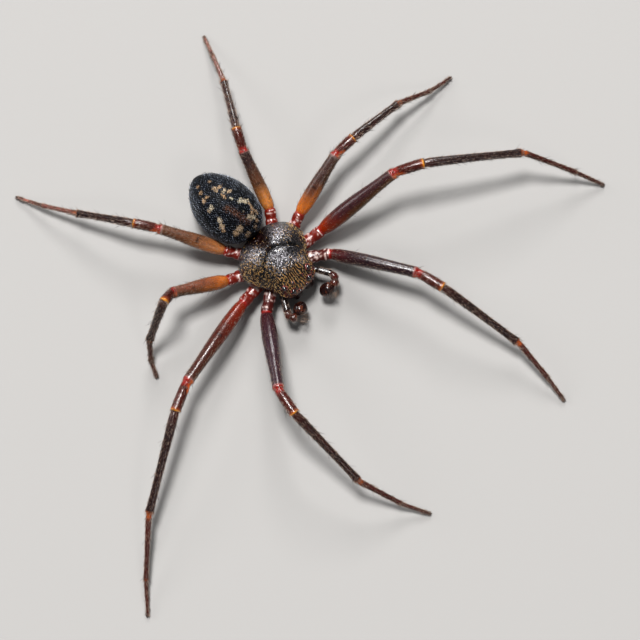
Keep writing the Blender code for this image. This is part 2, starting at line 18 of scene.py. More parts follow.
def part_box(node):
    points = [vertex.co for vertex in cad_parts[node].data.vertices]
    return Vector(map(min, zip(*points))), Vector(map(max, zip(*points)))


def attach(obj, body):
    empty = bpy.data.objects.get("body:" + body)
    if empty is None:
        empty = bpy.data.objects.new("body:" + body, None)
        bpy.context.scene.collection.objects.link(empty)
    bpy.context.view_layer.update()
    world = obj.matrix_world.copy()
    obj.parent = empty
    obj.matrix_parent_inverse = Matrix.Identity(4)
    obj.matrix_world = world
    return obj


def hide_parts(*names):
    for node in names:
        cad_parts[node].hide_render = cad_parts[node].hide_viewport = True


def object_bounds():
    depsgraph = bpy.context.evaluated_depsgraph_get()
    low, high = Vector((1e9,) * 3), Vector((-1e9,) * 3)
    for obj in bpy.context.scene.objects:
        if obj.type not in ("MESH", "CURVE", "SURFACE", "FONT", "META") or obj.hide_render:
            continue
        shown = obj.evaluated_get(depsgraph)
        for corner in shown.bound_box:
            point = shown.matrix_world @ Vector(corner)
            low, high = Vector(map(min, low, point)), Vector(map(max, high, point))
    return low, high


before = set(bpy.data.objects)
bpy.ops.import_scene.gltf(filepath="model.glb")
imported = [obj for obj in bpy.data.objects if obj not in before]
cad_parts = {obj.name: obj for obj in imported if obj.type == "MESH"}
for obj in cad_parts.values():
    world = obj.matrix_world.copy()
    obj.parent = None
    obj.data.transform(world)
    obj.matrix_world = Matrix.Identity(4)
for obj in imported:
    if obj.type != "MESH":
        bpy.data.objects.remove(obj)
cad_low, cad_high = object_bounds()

print("solids:", len(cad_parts))

# %% [markdown]
# The animal is easiest to think of in millimetres round its own middle line, facing -Y. The shield's
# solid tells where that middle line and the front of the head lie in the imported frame. One matrix then
# takes each finished mesh there, so that every object can stay at the origin, unturned and unscaled.

# %% From millimetres round the animal to metres in the frame
MM = 0.001
HEAD_FRONT_Y = -2.74
shield_low, shield_high = (Vector(corner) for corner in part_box("cephalothorax"))
MIDDLE = Vector(((shield_low.x + shield_high.x) / 2, shield_low.y - HEAD_FRONT_Y * MM, 0.0))
PLACE = Matrix.Translation(MIDDLE) @ Matrix.Scale(MM, 4)
print("middle line at", round(MIDDLE.x / MM, 2), "mm, head front at", round(shield_low.y / MM, 2), "mm")

# %% [markdown]
# The camera stands almost straight above, a little to the front and right of the animal, with a long
# lens, so that near and far legs keep one scale. It is moved sideways and not shifted, which leaves the
# animal in the middle of every other view.

# %% Camera
BEARING, HEIGHT, ROLL = (math.radians(angle) for angle in (-41.9, 82.0, 1.36))
DISTANCE = 130.0
SENSOR = 36.0
PICTURE_SIZE = 640
FOCAL_PIXELS = 2883.0
SUBJECT = Vector((0.0, 0.0, 1.5))
SUBJECT_PIXEL = (262.7, 244.3)

back = Vector((math.sin(BEARING) * math.cos(HEIGHT), -math.cos(BEARING) * math.cos(HEIGHT), math.sin(HEIGHT)))
right = Vector((math.cos(BEARING), math.sin(BEARING), 0.0))
turn = Matrix((right, back.cross(right), back)).transposed() @ Matrix.Rotation(-ROLL, 3, "Z")
pixel = DISTANCE / FOCAL_PIXELS
across = (PICTURE_SIZE / 2 - SUBJECT_PIXEL[0]) * pixel
down = (PICTURE_SIZE / 2 - SUBJECT_PIXEL[1]) * pixel
aim = SUBJECT + turn @ Vector((across, -down, 0.0))
camera = bpy.data.objects.new("camera", bpy.data.cameras.new("camera"))
bpy.context.scene.collection.objects.link(camera)
camera.data.sensor_width = SENSOR
camera.data.lens = FOCAL_PIXELS * SENSOR / PICTURE_SIZE
camera.data.clip_start = 0.01
camera.data.clip_end = 10.0
camera.matrix_world = Matrix.Translation(PLACE @ (aim + back * DISTANCE)) @ turn.to_4x4()
bpy.context.scene.camera = camera
print("lens", round(camera.data.lens, 1), "mm")

# %% [markdown]
# A small glossy animal shows its form by what it reflects. The key light is a sun behind thin cloud,
# which gives long, clear highlights along the legs, and it lights the floor evenly to its far end. Three
# small lamps add highlights to legs that the key can't reach. Their power is low, because they stand
# only a third of a metre away. The picture's contrast is raised a little, so that black shell looks black.

# %% Floor and light
def add_lamp(name, direction, distance, size, power, warmth=1.0):
    light = bpy.data.lights.new(name, "AREA")
    light.shape = "DISK"
    light.size = size
    light.energy = power
    light.color = (1.0, 0.5 + 0.5 * warmth, warmth)
    lamp = bpy.data.objects.new(name, light)
    bpy.context.scene.collection.objects.link(lamp)
    way = direction.normalized()
    lamp.location = way * distance
    lamp.rotation_euler = way.to_track_quat("Z", "Y").to_euler()
    return lamp


picture_right, picture_up, towards_camera = (turn.col[axis].copy() for axis in range(3))
key = bpy.data.lights.new("key_lamp", "SUN")
key.angle = math.radians(15.0)
key.energy = 3.8
key_lamp = bpy.data.objects.new("key_lamp", key)
bpy.context.scene.collection.objects.link(key_lamp)
key_way = towards_camera + picture_up * 0.5 - picture_right * 0.15
key_lamp.rotation_euler = key_way.to_track_quat("Z", "Y").to_euler()
add_lamp("fill_lamp", towards_camera - picture_up * 0.5 + picture_right * 0.5, 0.35, 0.1, 0.09, 0.97)
add_lamp("side_lamp", towards_camera * 0.5 - picture_right * 1.0 + picture_up * 0.5, 0.35, 0.14, 0.25)
add_lamp("back_lamp", towards_camera * 0.5 + picture_up, 0.35, 0.11, 0.6)

world = bpy.data.worlds.new("studio")
world.use_nodes = True
backdrop = world.node_tree.nodes["Background"]
backdrop.inputs["Color"].default_value = (0.93, 0.96, 1.0, 1.0)
backdrop.inputs["Strength"].default_value = 0.13
bpy.context.scene.world = world
bpy.context.scene.view_settings.view_transform = "Standard"
bpy.context.scene.view_settings.look = "Medium High Contrast"

FLOOR_HALF = 1.5  # metres
ground = bmesh.new()
bmesh.ops.create_grid(ground, x_segments=1, y_segments=1, size=FLOOR_HALF)
floor_mesh = bpy.data.meshes.new("floor")
ground.to_mesh(floor_mesh)
ground.free()
floor = bpy.data.objects.new("floor", floor_mesh)
bpy.context.scene.collection.objects.link(floor)
floor_paint = bpy.data.materials.new("pale_floor")
floor_paint.use_nodes = True
floor_shader = floor_paint.node_tree.nodes["Principled BSDF"]
floor_shader.inputs["Base Color"].default_value = (0.34, 0.33, 0.32, 1.0)
floor_shader.inputs["Roughness"].default_value = 0.85
floor_mesh.materials.append(floor_paint)

# %% [markdown]
# Every mark on this animal follows its own shape: rings lie round the joints and gold spots lie on the
# back. So colour is painted on the points of each mesh, by small functions of where a point lies, and
# the material adds what is finer than the mesh. Colours are given as a paint chip would be, from 0 to
# 255, and brought to the linear values that a shader wants.

# %% Small helpers for numbers and colours
PAINT_SHARE = 0.6  # the lamps are strong for the sake of clear highlights, so all paint is this much darker


def chip(red, green, blue):
    """A colour chip, 0 to 255, as linear values."""
    linear = (((value / 255 + 0.055) / 1.055) ** 2.4 for value in (red, green, blue))
    return tuple(PAINT_SHARE * value for value in linear)


def mix(a, b, share):
    return tuple(x + (y - x) * share for x, y in zip(a, b))


def ease(low, high, value):
    """0 below low, 1 above high and a smooth step between."""
    t = min(max((value - low) / (high - low), 0.0), 1.0)
    return t * t * (3 - 2 * t)


def bell(distance, width):
    return math.exp(-((distance / width) ** 2))


def curve_table(table, value):
    """The value of a (place, value) table at a place, on a smooth curve through its points."""
    last = len(table) - 1
    if value <= table[0][0] or value >= table[last][0]:
        return table[0][1] if value <= table[0][0] else table[last][1]
    index = next(i for i in range(last) if value <= table[i + 1][0])
    (a, first), (b, second) = table[index], table[index + 1]
    slopes = []
    for i in (index, index + 1):
        before, after = table[max(i - 1, 0)], table[min(i + 1, last)]
        slopes.append((after[1] - before[1]) / (after[0] - before[0]) * (b - a))
    t = (value - a) / (b - a)
    rise = t * t * (3 - 2 * t)
    return first + (second - first) * rise + (t - 2 * t * t + t**3) * slopes[0] + (t**3 - t * t) * slopes[1]


def rough(place, size, layers=3):
    """Smooth noise between about -1 and 1, with features of that many millimetres."""
    return noise.fractal(place / size, 1.0, 2.0, layers)


# %% [markdown]
# All hard parts share one recipe: the painted colour, varied a little by noise, over a grain that is
# pressed in as bump, with roughness that wanders. Legs read the noise in straight coordinates, kept on
# their points as if each leg were pulled out in a line, so that streaks run along them round every bend.

# %% A material for painted shell
def shell_material(
    name, grain, depth, roughness, streak=1.0, coords="Object", variation=0.35, pebbled=False, **sockets
):
    """grain and depth are in metres. streak is how far the grain is drawn out along its third axis."""
    material = bpy.data.materials.new(name)
    material.use_nodes = True
    nodes, links = material.node_tree.nodes, material.node_tree.links
    shader = nodes["Principled BSDF"]
    stretch = nodes.new("ShaderNodeMapping")
    stretch.inputs["Scale"].default_value = (1.0, 1.0, 1.0 / streak)

    def texture(kind, scale, **settings):
        node = nodes.new(kind)
        for socket, value in {"Scale": scale, **settings}.items():
            node.inputs[socket].default_value = value
        links.new(stretch.outputs["Vector"], node.inputs["Vector"])
        return node

    def remap(value, low, high, to_low, to_high, smooth=False):
        node = nodes.new("ShaderNodeMapRange")
        node.interpolation_type = "SMOOTHSTEP" if smooth else "LINEAR"
        for socket, number in zip(("From Min", "From Max", "To Min", "To Max"), (low, high, to_low, to_high)):
            node.inputs[socket].default_value = number
        links.new(value, node.inputs["Value"])
        return node.outputs["Result"]

    if coords == "Object":
        where = nodes.new("ShaderNodeTexCoord").outputs["Object"]
    else:
        read = nodes.new("ShaderNodeAttribute")
        read.attribute_name = coords
        where = read.outputs["Vector"]
    links.new(where, stretch.inputs["Vector"])
    if pebbled:
        pebbles = texture("ShaderNodeTexVoronoi", 1.0 / grain)
        height = remap(pebbles.outputs["Distance"], 0.75, 0.05, 0.3, 0.7, smooth=True)
    else:
        height = texture("ShaderNodeTexNoise", 1.0 / grain, Detail=3.0).outputs["Fac"]
    clouds = texture("ShaderNodeTexNoise", 0.16 / grain, Detail=4.0).outputs["Fac"]
    paint = nodes.new("ShaderNodeAttribute")
    paint.attribute_name = "paint"
    tint = nodes.new("ShaderNodeVectorMath")
    tint.operation = "SCALE"
    links.new(paint.outputs["Color"], tint.inputs["Vector"])
    links.new(remap(height, 0.3, 0.7, 1.0 - variation, 1.0 + variation), tint.inputs["Scale"])
    links.new(tint.outputs["Vector"], shader.inputs["Base Color"])
    links.new(remap(clouds, 0.3, 0.7, *roughness), shader.inputs["Roughness"])
    bump = nodes.new("ShaderNodeBump")
    bump.inputs["Distance"].default_value = depth
    links.new(height, bump.inputs["Height"])
    for socket in ("Normal", "Coat Normal"):
        links.new(bump.outputs["Normal"], shader.inputs[socket])
    for socket, value in sockets.items():
        shader.inputs[socket.replace("_", " ")].default_value = value
    return material


shield_finish = shell_material(
    "grained_black_shield", 0.00008, 0.00005, (0.14, 0.22), variation=0.8, pebbled=True, Coat_Weight=0.5,
    Coat_Roughness=0.18, Specular_IOR_Level=0.6,
)
abdomen_finish = shell_material(
    "velvet_abdomen", 0.00006, 0.00003, (0.36, 0.5), variation=0.8, pebbled=True, Specular_IOR_Level=0.12
)
leg_finish = shell_material(
    "glossy_leg", 0.00004, 0.00001, (0.2, 0.3), streak=1.3, coords="straight", variation=0.3,
    Subsurface_Weight=0.15, Subsurface_Scale=0.0003, Coat_Weight=0.5, Coat_Roughness=0.1,
    Specular_IOR_Level=0.3,
)
palp_finish = shell_material(
    "palp_shell", 0.00005, 0.000006, (0.16, 0.32), Coat_Weight=0.4, Coat_Roughness=0.1
)
jaw_finish = shell_material("jaw_shell", 0.00005, 0.000006, (0.34, 0.46), Specular_IOR_Level=0.35)
belly_finish = shell_material("breastplate", 0.00007, 0.00001, (0.3, 0.45), Coat_Weight=0.1)
eye_finish = shell_material(
    "eye_lens", 0.00008, 0.0000002, (0.12, 0.18), variation=0.1, Coat_Weight=1.0, Coat_Roughness=0.1,
    Specular_IOR_Level=1.0,
)
hair_finish = shell_material("hair", 0.00004, 0.0, (0.35, 0.5), variation=0.15)
print("materials:", len(bpy.data.materials))

# %% [markdown]
# Two shapes serve nearly every piece. A ball whose points are each moved to their place makes the
# shield, the abdomen and the lenses. A tube, extruded ring by ring along a line of stations, makes the
# limbs. Both stay one closed skin, which a mesh for casting or baking needs.

# %% Moulded balls and drawn tubes
def moulded_ball(columns, rows, place):
    """A sphere whose unit points are each moved by place. Hairs and eyes rely on its outward directions."""
    shape = bmesh.new()
    bmesh.ops.create_uvsphere(shape, u_segments=columns, v_segments=rows, radius=1.0)
    for point in shape.verts:
        point.co = place(point.co)
    shape.normal_update()
    return shape


def ring_frame(centre, way, wide, high):
    """The matrix that takes a unit circle to one ring of a tube. Its second axis points upwards."""
    side = way.cross(Vector((0, 0, 1)))
    side = side.normalized() if side.length > 1e-4 else Vector((1, 0, 0))
    up = side.cross(way).normalized()
    columns = (side * wide, up * high, way.normalized())
    return Matrix.Translation(centre) @ Matrix(columns).transposed().to_4x4()


def drawn_tube(shape, rings, sides):
    """Extrudes a disc through (matrix, distance) rings. The edges go along, or walls would stay inside."""
    vectors, numbers = shape.verts.layers.float_vector, shape.verts.layers.int
    straight = vectors.get("straight") or vectors.new("straight")
    index = numbers.get("ring") or numbers.new("ring")
    start = bmesh.ops.create_circle(shape, cap_ends=True, segments=sides, radius=1.0, matrix=rings[0][0])
    points = start["verts"]
    cap = points[0].link_faces[0]
    for number, (matrix, distance) in enumerate(rings):
        if number:
            made = bmesh.ops.extrude_face_region(shape, geom=[cap, *cap.edges])["geom"]
            points = [item for item in made if isinstance(item, bmesh.types.BMVert)]
            cap = next(item for item in made if isinstance(item, bmesh.types.BMFace))
            bmesh.ops.transform(shape, matrix=matrix @ rings[number - 1][0].inverted(), verts=points)
        centre = matrix.translation
        for point in points:
            arm = point.co - centre
            side = matrix.col[0].xyz
            up = matrix.col[1].xyz
            point[straight] = (arm.dot(side) / side.length * MM, arm.dot(up) / up.length * MM, distance * MM)
            point[index] = number
    bmesh.ops.recalc_face_normals(shape, faces=shape.faces)
    return shape


# %% [markdown]
# A finished piece goes through one door: it gets its paint and its material, moves to its place, rides
# on the model's one body, and stands for the solids that it covers. Painting asks a function for the
# colour of each point, while the mesh is still in millimetres.

# %% Finish a piece
def paint_mesh(mesh, colours):
    layer = mesh.attributes.new("paint", "FLOAT_COLOR", "POINT")
    values = np.ones((len(mesh.vertices), 4), dtype=np.float32)
    values[:, :3] = colours
    layer.data.foreach_set("color", values.ravel())


def add_piece(name, shape, material, nodes, paint):
    mesh = bpy.data.meshes.new(name)
    shape.to_mesh(mesh)
    shape.free()
    paint_mesh(mesh, [paint(vertex) for vertex in mesh.vertices])
    mesh.transform(PLACE)
    mesh.shade_smooth()
    mesh.materials.append(material)
    piece = bpy.data.objects.new(name, mesh)
    bpy.context.scene.collection.objects.link(piece)
    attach(piece, "root")
    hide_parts(*nodes)
    print(name, "has", len(mesh.polygons), "faces")
    return piece


# %% [markdown]
# The shield is broad and round over the thorax and square at the head. From above its outline is a
# table of distances from one centre, one for every ten degrees. In height it is a dome with two swollen
# lobes behind, a pit between them that opens down the rear slope, and grooves that part head from
# thorax. Mounds under the larger eyes finish the head.

# %% Outline and relief of the shield
SHIELD_CENTRE_Y = -0.95
RIM_Z = 1.3
DOME_HEIGHT = 1.15
OUTLINE = (
    1.79, 1.81, 1.85, 1.8, 1.62, 1.47, 1.41, 1.45, 1.56, 1.66,
    1.745, 1.79, 1.8, 1.77, 1.73, 1.69, 1.64, 1.6, 1.58,
)
CREST = (
    (-3.0, 0.62), (-2.4, 0.7), (-1.7, 0.84), (-0.9, 0.95), (-0.3, 1.0), (0.0, 0.93), (0.3, 0.72), (0.7, 0.3)
)
EYES = {
    "anterior_median": (0.2, -2.68, 0.065),
    "anterior_lateral": (0.47, -2.56, 0.125),
    "posterior_median": (0.27, -2.28, 0.06),
    "posterior_lateral": (0.72, -2.2, 0.12),
}
SIDES = {"left": 1, "right": -1}


def outline_at(bearing):
    """Reach of the rim at a bearing in radians from straight ahead, on a smooth curve through the table."""
    place = abs(math.degrees(bearing)) / 10
    index = min(int(place), len(OUTLINE) - 2)
    t = place - index
    last = len(OUTLINE) - 1
    steps = range(index - 1, index + 3)
    a, b, c, d = (OUTLINE[abs(step) if step < last else 2 * last - step] for step in steps)
    return b + 0.5 * t * (c - a + t * (2 * a - 5 * b + 4 * c - d + t * (3 * (b - c) + d - a)))


def smooth_table(table, value):
    """The value of a table at a place, in steps that start and end level."""
    if value <= table[0][0]:
        return table[0][1]
    for (a, first), (b, second) in zip(table, table[1:]):
        if value <= b:
            return first + (second - first) * ease(a, b, value)
    return table[-1][1]


RIDGE = 0.115  # from one fine ridge to the next, between the eyes


def between_eyes(x, y):
    """1 on the wrinkled patch between the eyes, 0 off it, with a soft and ragged edge."""
    if abs(x) > 0.9 or y > -1.3:
        return 0.0
    ragged = 0.2 * rough(Vector((x, y, 0)), 0.3, 2)
    return ease(-1.5, -1.95, y + ragged) * ease(0.75, 0.45, abs(x + 0.05) + ragged) * ease(-2.72, -2.6, y)


def ridge_wave(x, y):
    """Broad black ridges, 1 on their crests, with narrow furrows between them at -1."""
    wander = 0.09 * rough(Vector((x, y * 0.8, 5)), 0.4, 3)
    furrow = 0.5 - 0.5 * math.cos(math.tau * (x + wander + 0.1 * (y + 2.2) * x) / RIDGE)
    return 1.0 - 2.0 * furrow**2.5


PIT_Y = -0.5
GROOVE_SLOPE = 0.66  # how far the groove runs forward for each step outwards


def groove_distance(side, y):
    """From the groove that runs from the pit forwards and outwards, slightly arched."""
    line = PIT_Y - GROOVE_SLOPE * side + 0.1 * math.sin(math.pi * min(side / 1.3, 1.0))
    return abs(y - line) / math.hypot(1.0, GROOVE_SLOPE)


LOBE_HEIGHT, HEAD_HEIGHT, MOUND_HEIGHT = 0.17, 0.12, 0.12
GROOVE_DEPTH, PIT_DEPTH, VALLEY_DEPTH, FAN_DEPTH = 0.11, 0.1, 0.36, 0.03
RIDGE_HEIGHT, UNEVENNESS = 0.018, 0.012


def relief(x, y):
    """Lobes and mounds of the shield, less its pit and grooves."""
    side = math.hypot(x, 0.08)
    height = LOBE_HEIGHT * bell(math.hypot((side - 0.78) / 0.6, (y + 0.2) / 0.6), 1.0)
    height += HEAD_HEIGHT * bell(math.hypot(side / 0.6, (y + 1.35) / 0.7), 1.0)
    for eye_x, eye_y, size in (EYES["anterior_lateral"], EYES["posterior_lateral"]):
        height += MOUND_HEIGHT * bell(math.hypot(side - eye_x, y - eye_y), 1.5 * size)
    groove = bell(groove_distance(side, y), 0.07) * ease(1.45, 1.0, side)
    height -= GROOVE_DEPTH * groove * (0.7 + 0.3 * ease(0.0, 0.2, side))
    height -= PIT_DEPTH * bell(math.hypot(x, y - PIT_Y), 0.12)
    height -= VALLEY_DEPTH * bell(x, 0.14 + 0.32 * ease(PIT_Y, 0.5, y)) * ease(PIT_Y - 0.15, 0.2, y)
    height += RIDGE_HEIGHT * between_eyes(x, y) * ridge_wave(x, y)
    fan = math.atan2(x, -(y - 0.1))
    height -= FAN_DEPTH * ease(0.35, 0.9, math.hypot(x, y - 0.1)) * max(math.cos(fan * 9), 0.0) ** 6
    return height + UNEVENNESS * rough(Vector((x, y, 0)), 0.3)


UNDERSIDE = (  # share of the reach, and depth under the rim
    (1.0, 0.0), (0.97, 0.05), (0.84, 0.1), (0.66, 0.18), (0.58, 0.34),
    (0.55, 0.6), (0.48, 0.78), (0.3, 0.82), (0, 0.82),
)
UNDER_SHARE = 0.25  # share of the ball's rows that make the underside
DOME_STEEPNESS, DOME_FULLNESS, ROW_SPREAD = 3.4, 0.62, 0.8
RIM_BEAD = 0.035


def shield_place(unit):
    bearing = math.atan2(unit.x, -unit.y)
    edge = outline_at(bearing)
    out = Vector((math.sin(bearing), -math.cos(bearing), 0.0))
    rise = math.atan2(unit.z, math.hypot(unit.x, unit.y)) / math.pi + 0.5
    if rise < UNDER_SHARE:
        place = (1 - rise / UNDER_SHARE) * (len(UNDERSIDE) - 1)
        index = min(int(place), len(UNDERSIDE) - 2)
        share, depth = mix(UNDERSIDE[index], UNDERSIDE[index + 1], place - index)
        return out * edge * share + Vector((0, SHIELD_CENTRE_Y, RIM_Z - depth))
    share = math.cos((rise - UNDER_SHARE) / (1 - UNDER_SHARE) * math.pi / 2) ** ROW_SPREAD
    level = out * edge * share + Vector((0, SHIELD_CENTRE_Y, 0))
    swell = (1 - share**DOME_STEEPNESS) ** DOME_FULLNESS
    height = (DOME_HEIGHT * smooth_table(CREST, level.y) + relief(level.x, level.y)) * swell
    height += RIM_BEAD * bell(share - 0.975, 0.02)
    return level + Vector((0, 0, RIM_Z + height))


# %% [markdown]
# The shield's black is never one black. A silver-grey painted highlight lies on the tops of the lobes
# and the head, the pit and the rear slope are darkened by a dark red-brown painted shade, painted shade
# darkens the grooves, and the rim glows orange where it is thinnest, most of all at the left of the head.
# The breastplate underneath is a warm dark brown.

# %% Paint and make the shield
BLACK = chip(15, 13, 15)
# the colour of the painted highlight on the shield
HIGHLIGHT_SILVER = chip(176, 170, 176)
SHADE_AND_RIDGE_BLACK = chip(12, 10, 11)
RIDGE_GOLD = chip(226, 170, 108)
RED_BROWN = chip(74, 28, 20)
# painted shade, dark red-brown, for the pit and the rear slope
PIT_SHADE = chip(44, 17, 14)
FACE_RED = chip(156, 48, 42)
RIM_ORANGE = chip(176, 84, 34)
BELLY = chip(84, 42, 28)


def shield_paint(vertex):
    x, y, z = vertex.co
    if z < RIM_Z - 0.02:
        return mix(BELLY, RED_BROWN, ease(-0.2, 0.6, rough(vertex.co, 0.4)))
    side = abs(x)
    # Painted highlight: silver grey on the tops of the lobes, on the top of the head and on a patch at its
    # left, broken up by noise.
    top = bell(math.hypot((side - 0.75) / 0.45, (y + 0.2) / 0.45), 1.0)
    top = max(top, bell(math.hypot(side / 0.55, (y + 1.2) / 0.5), 1.0))
    top = max(top, bell(math.hypot(x - 0.62, y + 1.68), 0.28))
    painted_highlight = top * (0.45 + 0.55 * ease(-0.3, 0.35, rough(vertex.co, 0.06)))
    colour = mix(BLACK, HIGHLIGHT_SILVER, painted_highlight)
    # Painted shade, dark red-brown, in the pit and down the valley of the rear slope.
    pit_shade = bell(x, 0.2 + 0.35 * ease(PIT_Y, 0.5, y)) * ease(PIT_Y - 0.15, PIT_Y + 0.1, y)
    colour = mix(colour, PIT_SHADE, 0.9 * pit_shade)
    # painted shade along the grooves
    colour = mix(colour, SHADE_AND_RIDGE_BLACK, 0.8 * bell(groove_distance(side, y), 0.04) * ease(1.45, 1.0, side))
    face = ease(-2.1, -2.5, y) * 0.8 * ease(-0.3, 0.3, rough(vertex.co, 0.16))
    colour = mix(colour, FACE_RED, face)
    patch = between_eyes(x, y)
    if patch:
        furrow = ease(-0.15, -0.75, ridge_wave(x, y))
        broken = ease(-0.8, -0.1, rough(Vector((x * 3, y, z)), 0.3))
        # the ridges' own black
        colour = mix(colour, SHADE_AND_RIDGE_BLACK, 0.9 * patch)
        colour = mix(colour, RIDGE_GOLD, patch * furrow * broken)
    bearing = math.atan2(x, -(y - SHIELD_CENTRE_Y))
    share = math.hypot(x, y - SHIELD_CENTRE_Y) / outline_at(bearing)
    rim = ease(0.955, 0.985, share) * ease(1.5, 0.9, abs(bearing - 0.6))
    rim *= ease(-0.5, 0.3, rough(vertex.co, 0.2))
    return mix(colour, RIM_ORANGE, 0.8 * rim)


shield_shape = moulded_ball(330, 180, shield_place)
shield_tree = BVHTree.FromBMesh(shield_shape)
add_piece("carapace", shield_shape, shield_finish, ["cephalothorax"], shield_paint)


def on_shield(x, y):
    """The point of the shield under a place seen from above, with its outward direction."""
    place, normal, _, _ = shield_tree.ray_cast(Vector((x, y, 9.0)), Vector((0, 0, -1)))
    return place, normal


# %% [markdown]
# Eight simple eyes stand in two rows, and the outer ones sit on mounds. Each is a black glass bead, a
# little more than half sunk, in a raised pinkish-red ring. The ring is a small circle spun once round
# the lens, which closes on itself only if the spin merges its ends.

# %% Eyes and their rings
EYE_BLACK = chip(12, 8, 10)
EYE_RING = chip(196, 104, 96)
LENS_SINK = 0.1  # this and the next three are shares of the lens's radius
RING_RISE, RING_REACH, RING_THICKNESS = 0.05, 1.16, 0.32


def eye_ring(seat, reach, thickness):
    shape = bmesh.new()
    upright = Matrix.Translation((reach, 0, 0)) @ Matrix.Rotation(math.pi / 2, 4, "X")
    section = bmesh.ops.create_circle(shape, segments=8, radius=thickness, matrix=upright)
    geom = section["verts"] + list(shape.edges)
    bmesh.ops.spin(
        shape, geom=geom, axis=(0, 0, 1), cent=(0, 0, 0), angle=math.tau, steps=28, use_merge=True
    )
    bmesh.ops.remove_doubles(shape, verts=shape.verts, dist=1e-4)
    bmesh.ops.recalc_face_normals(shape, faces=shape.faces)
    bmesh.ops.transform(shape, matrix=seat, verts=shape.verts)
    return shape


def ring_paint(vertex):
    return mix(RED_BROWN, EYE_RING, ease(-0.4, 0.2, rough(vertex.co, 0.15)))


for row, (eye_x, eye_y, radius) in EYES.items():
    for side, sign in SIDES.items():
        place, normal = on_shield(sign * eye_x, eye_y)
        facing = normal.to_track_quat("Z", "Y").to_matrix().to_4x4()
        seat = Matrix.Translation(place - normal * radius * LENS_SINK) @ facing
        lens = moulded_ball(28, 18, lambda unit: seat @ (unit * radius))
        node = "eye_" + row + "_" + side
        add_piece(node + "_lens", lens, eye_finish, [node], lambda vertex: EYE_BLACK)
        ring_seat = seat @ Matrix.Translation((0, 0, radius * RING_RISE))
        ring = eye_ring(ring_seat, radius * RING_REACH, radius * RING_THICKNESS)
        add_piece(node + "_ring", ring, shield_finish, [node], ring_paint)

# %% [markdown]
# The abdomen is an egg, blunt in front and narrower to the rear. Its ground is blue-black. Cream and gold
# spots lie in broken rows down both sides, and a reddish-brown heart mark runs back from the waist. A
# spot's edge is never clean, so noise shakes the distance to its middle before it decides the colour.

# %% Abdomen
ABDOMEN_CENTRE = Vector((-0.11, 2.46, 1.58))
ABDOMEN_HALVES = Vector((1.35, 1.88, 1.16))
BLUE_BLACK = chip(24, 29, 40)
DEEP_BLACK = chip(8, 9, 13)
CREAM = chip(255, 236, 204)
GOLD = chip(222, 170, 116)
HEART = chip(166, 108, 72)
SPOTS = (  # x, y, half width, half length, share of cream over gold
    (0.12, 3.60, 0.07, 0.08, 0.3),
    (0.04, 3.12, 0.08, 0.13, 0.5),
    (0.27, 3.08, 0.11, 0.06, 0.4),
    (0.29, 2.81, 0.1, 0.07, 0.9),
    (0.45, 2.63, 0.12, 0.07, 0.6),
    (0.09, 2.65, 0.05, 0.13, 0.3),
    (0.29, 2.31, 0.06, 0.06, 1.3),
    (0.54, 1.98, 0.13, 0.1, 1.2),
    (0.68, 1.82, 0.12, 0.09, 1.0),
    (0.75, 1.62, 0.05, 0.09, 0.5),
    (0.69, 1.42, 0.06, 0.1, 0.3),
    (0.55, 1.26, 0.06, 0.08, 0.3),
    (0.34, 1.19, 0.1, 0.1, 0.9),
    (0.49, 1.08, 0.1, 0.09, 1.0),
    (0.73, 1.19, 0.05, 0.12, 0.3),
    (0.50, 0.90, 0.05, 0.08, 0.3),
    (0.26, 0.74, 0.08, 0.08, 0.4),
    (-0.35, 1.10, 0.12, 0.13, 0.6),
    (-0.58, 1.08, 0.16, 0.1, 0.4),
    (-0.22, 0.72, 0.13, 0.08, 0.4),
    (-0.75, 1.97, 0.09, 0.11, 0.9),
    (-0.87, 1.73, 0.09, 0.12, 0.6),
    (-0.92, 1.56, 0.06, 0.08, 0.3),
    (-0.64, 2.63, 0.1, 0.09, 1.1),
    (-0.81, 2.60, 0.07, 0.08, 0.6),
    (-0.69, 3.10, 0.07, 0.11, 0.4),
    (-0.48, 3.12, 0.09, 0.06, 0.3),
    (-0.53, 3.50, 0.1, 0.07, 0.3),
    (-0.39, 3.84, 0.07, 0.06, 0.2),
    (0.29, 1.54, 0.03, 0.03, 1.3),
)


TAPER = (0.1, 0.17)  # narrowing to the rear, with the first and third power of the place along
BELLY_FLATNESS, SWING, DROOP, DIMPLE_DEPTH = 0.94, 0.06, 0.12, 0.05


def abdomen_place(unit):
    along = unit.y
    broad = 1.0 - TAPER[0] * along - TAPER[1] * along**3
    low = BELLY_FLATNESS if unit.z < 0 else 1.0
    x = unit.x * ABDOMEN_HALVES.x * broad - along * SWING
    z = unit.z * ABDOMEN_HALVES.z * low * min(broad, 1.0) - max(along, 0.0) ** 2 * DROOP
    level = along * ABDOMEN_HALVES.y
    dimples = sum(bell(math.hypot(abs(x + 0.06) - 0.34, level - y), 0.09) for y in (-0.55, 0.25))
    place = ABDOMEN_CENTRE + Vector((x, along * ABDOMEN_HALVES.y, z))
    return place - unit * (DIMPLE_DEPTH * dimples * max(unit.z, 0.0) + UNEVENNESS * rough(place, 0.5))


def spot_at(place):
    """(how much of a gold spot lies at a place, its share of cream)."""
    shaken = place + Vector((rough(place, 0.16), rough(place + Vector((9, 4, 2)), 0.16), 0)) * 0.07
    most, cream = 0.0, 0.0
    for x, y, wide, long, share in SPOTS:
        reach = math.hypot((shaken.x - x) / wide, (shaken.y - y) / long)
        if reach < 1.6:
            amount = ease(1.35, 0.85, reach + 0.55 * rough(place, 0.07, 2))
            if amount > most:
                most, cream = amount, share
    return most, cream


HEART_START, HEART_SLOPE = 0.42, -0.26  # the mark's line: x at y = 0, and its slant


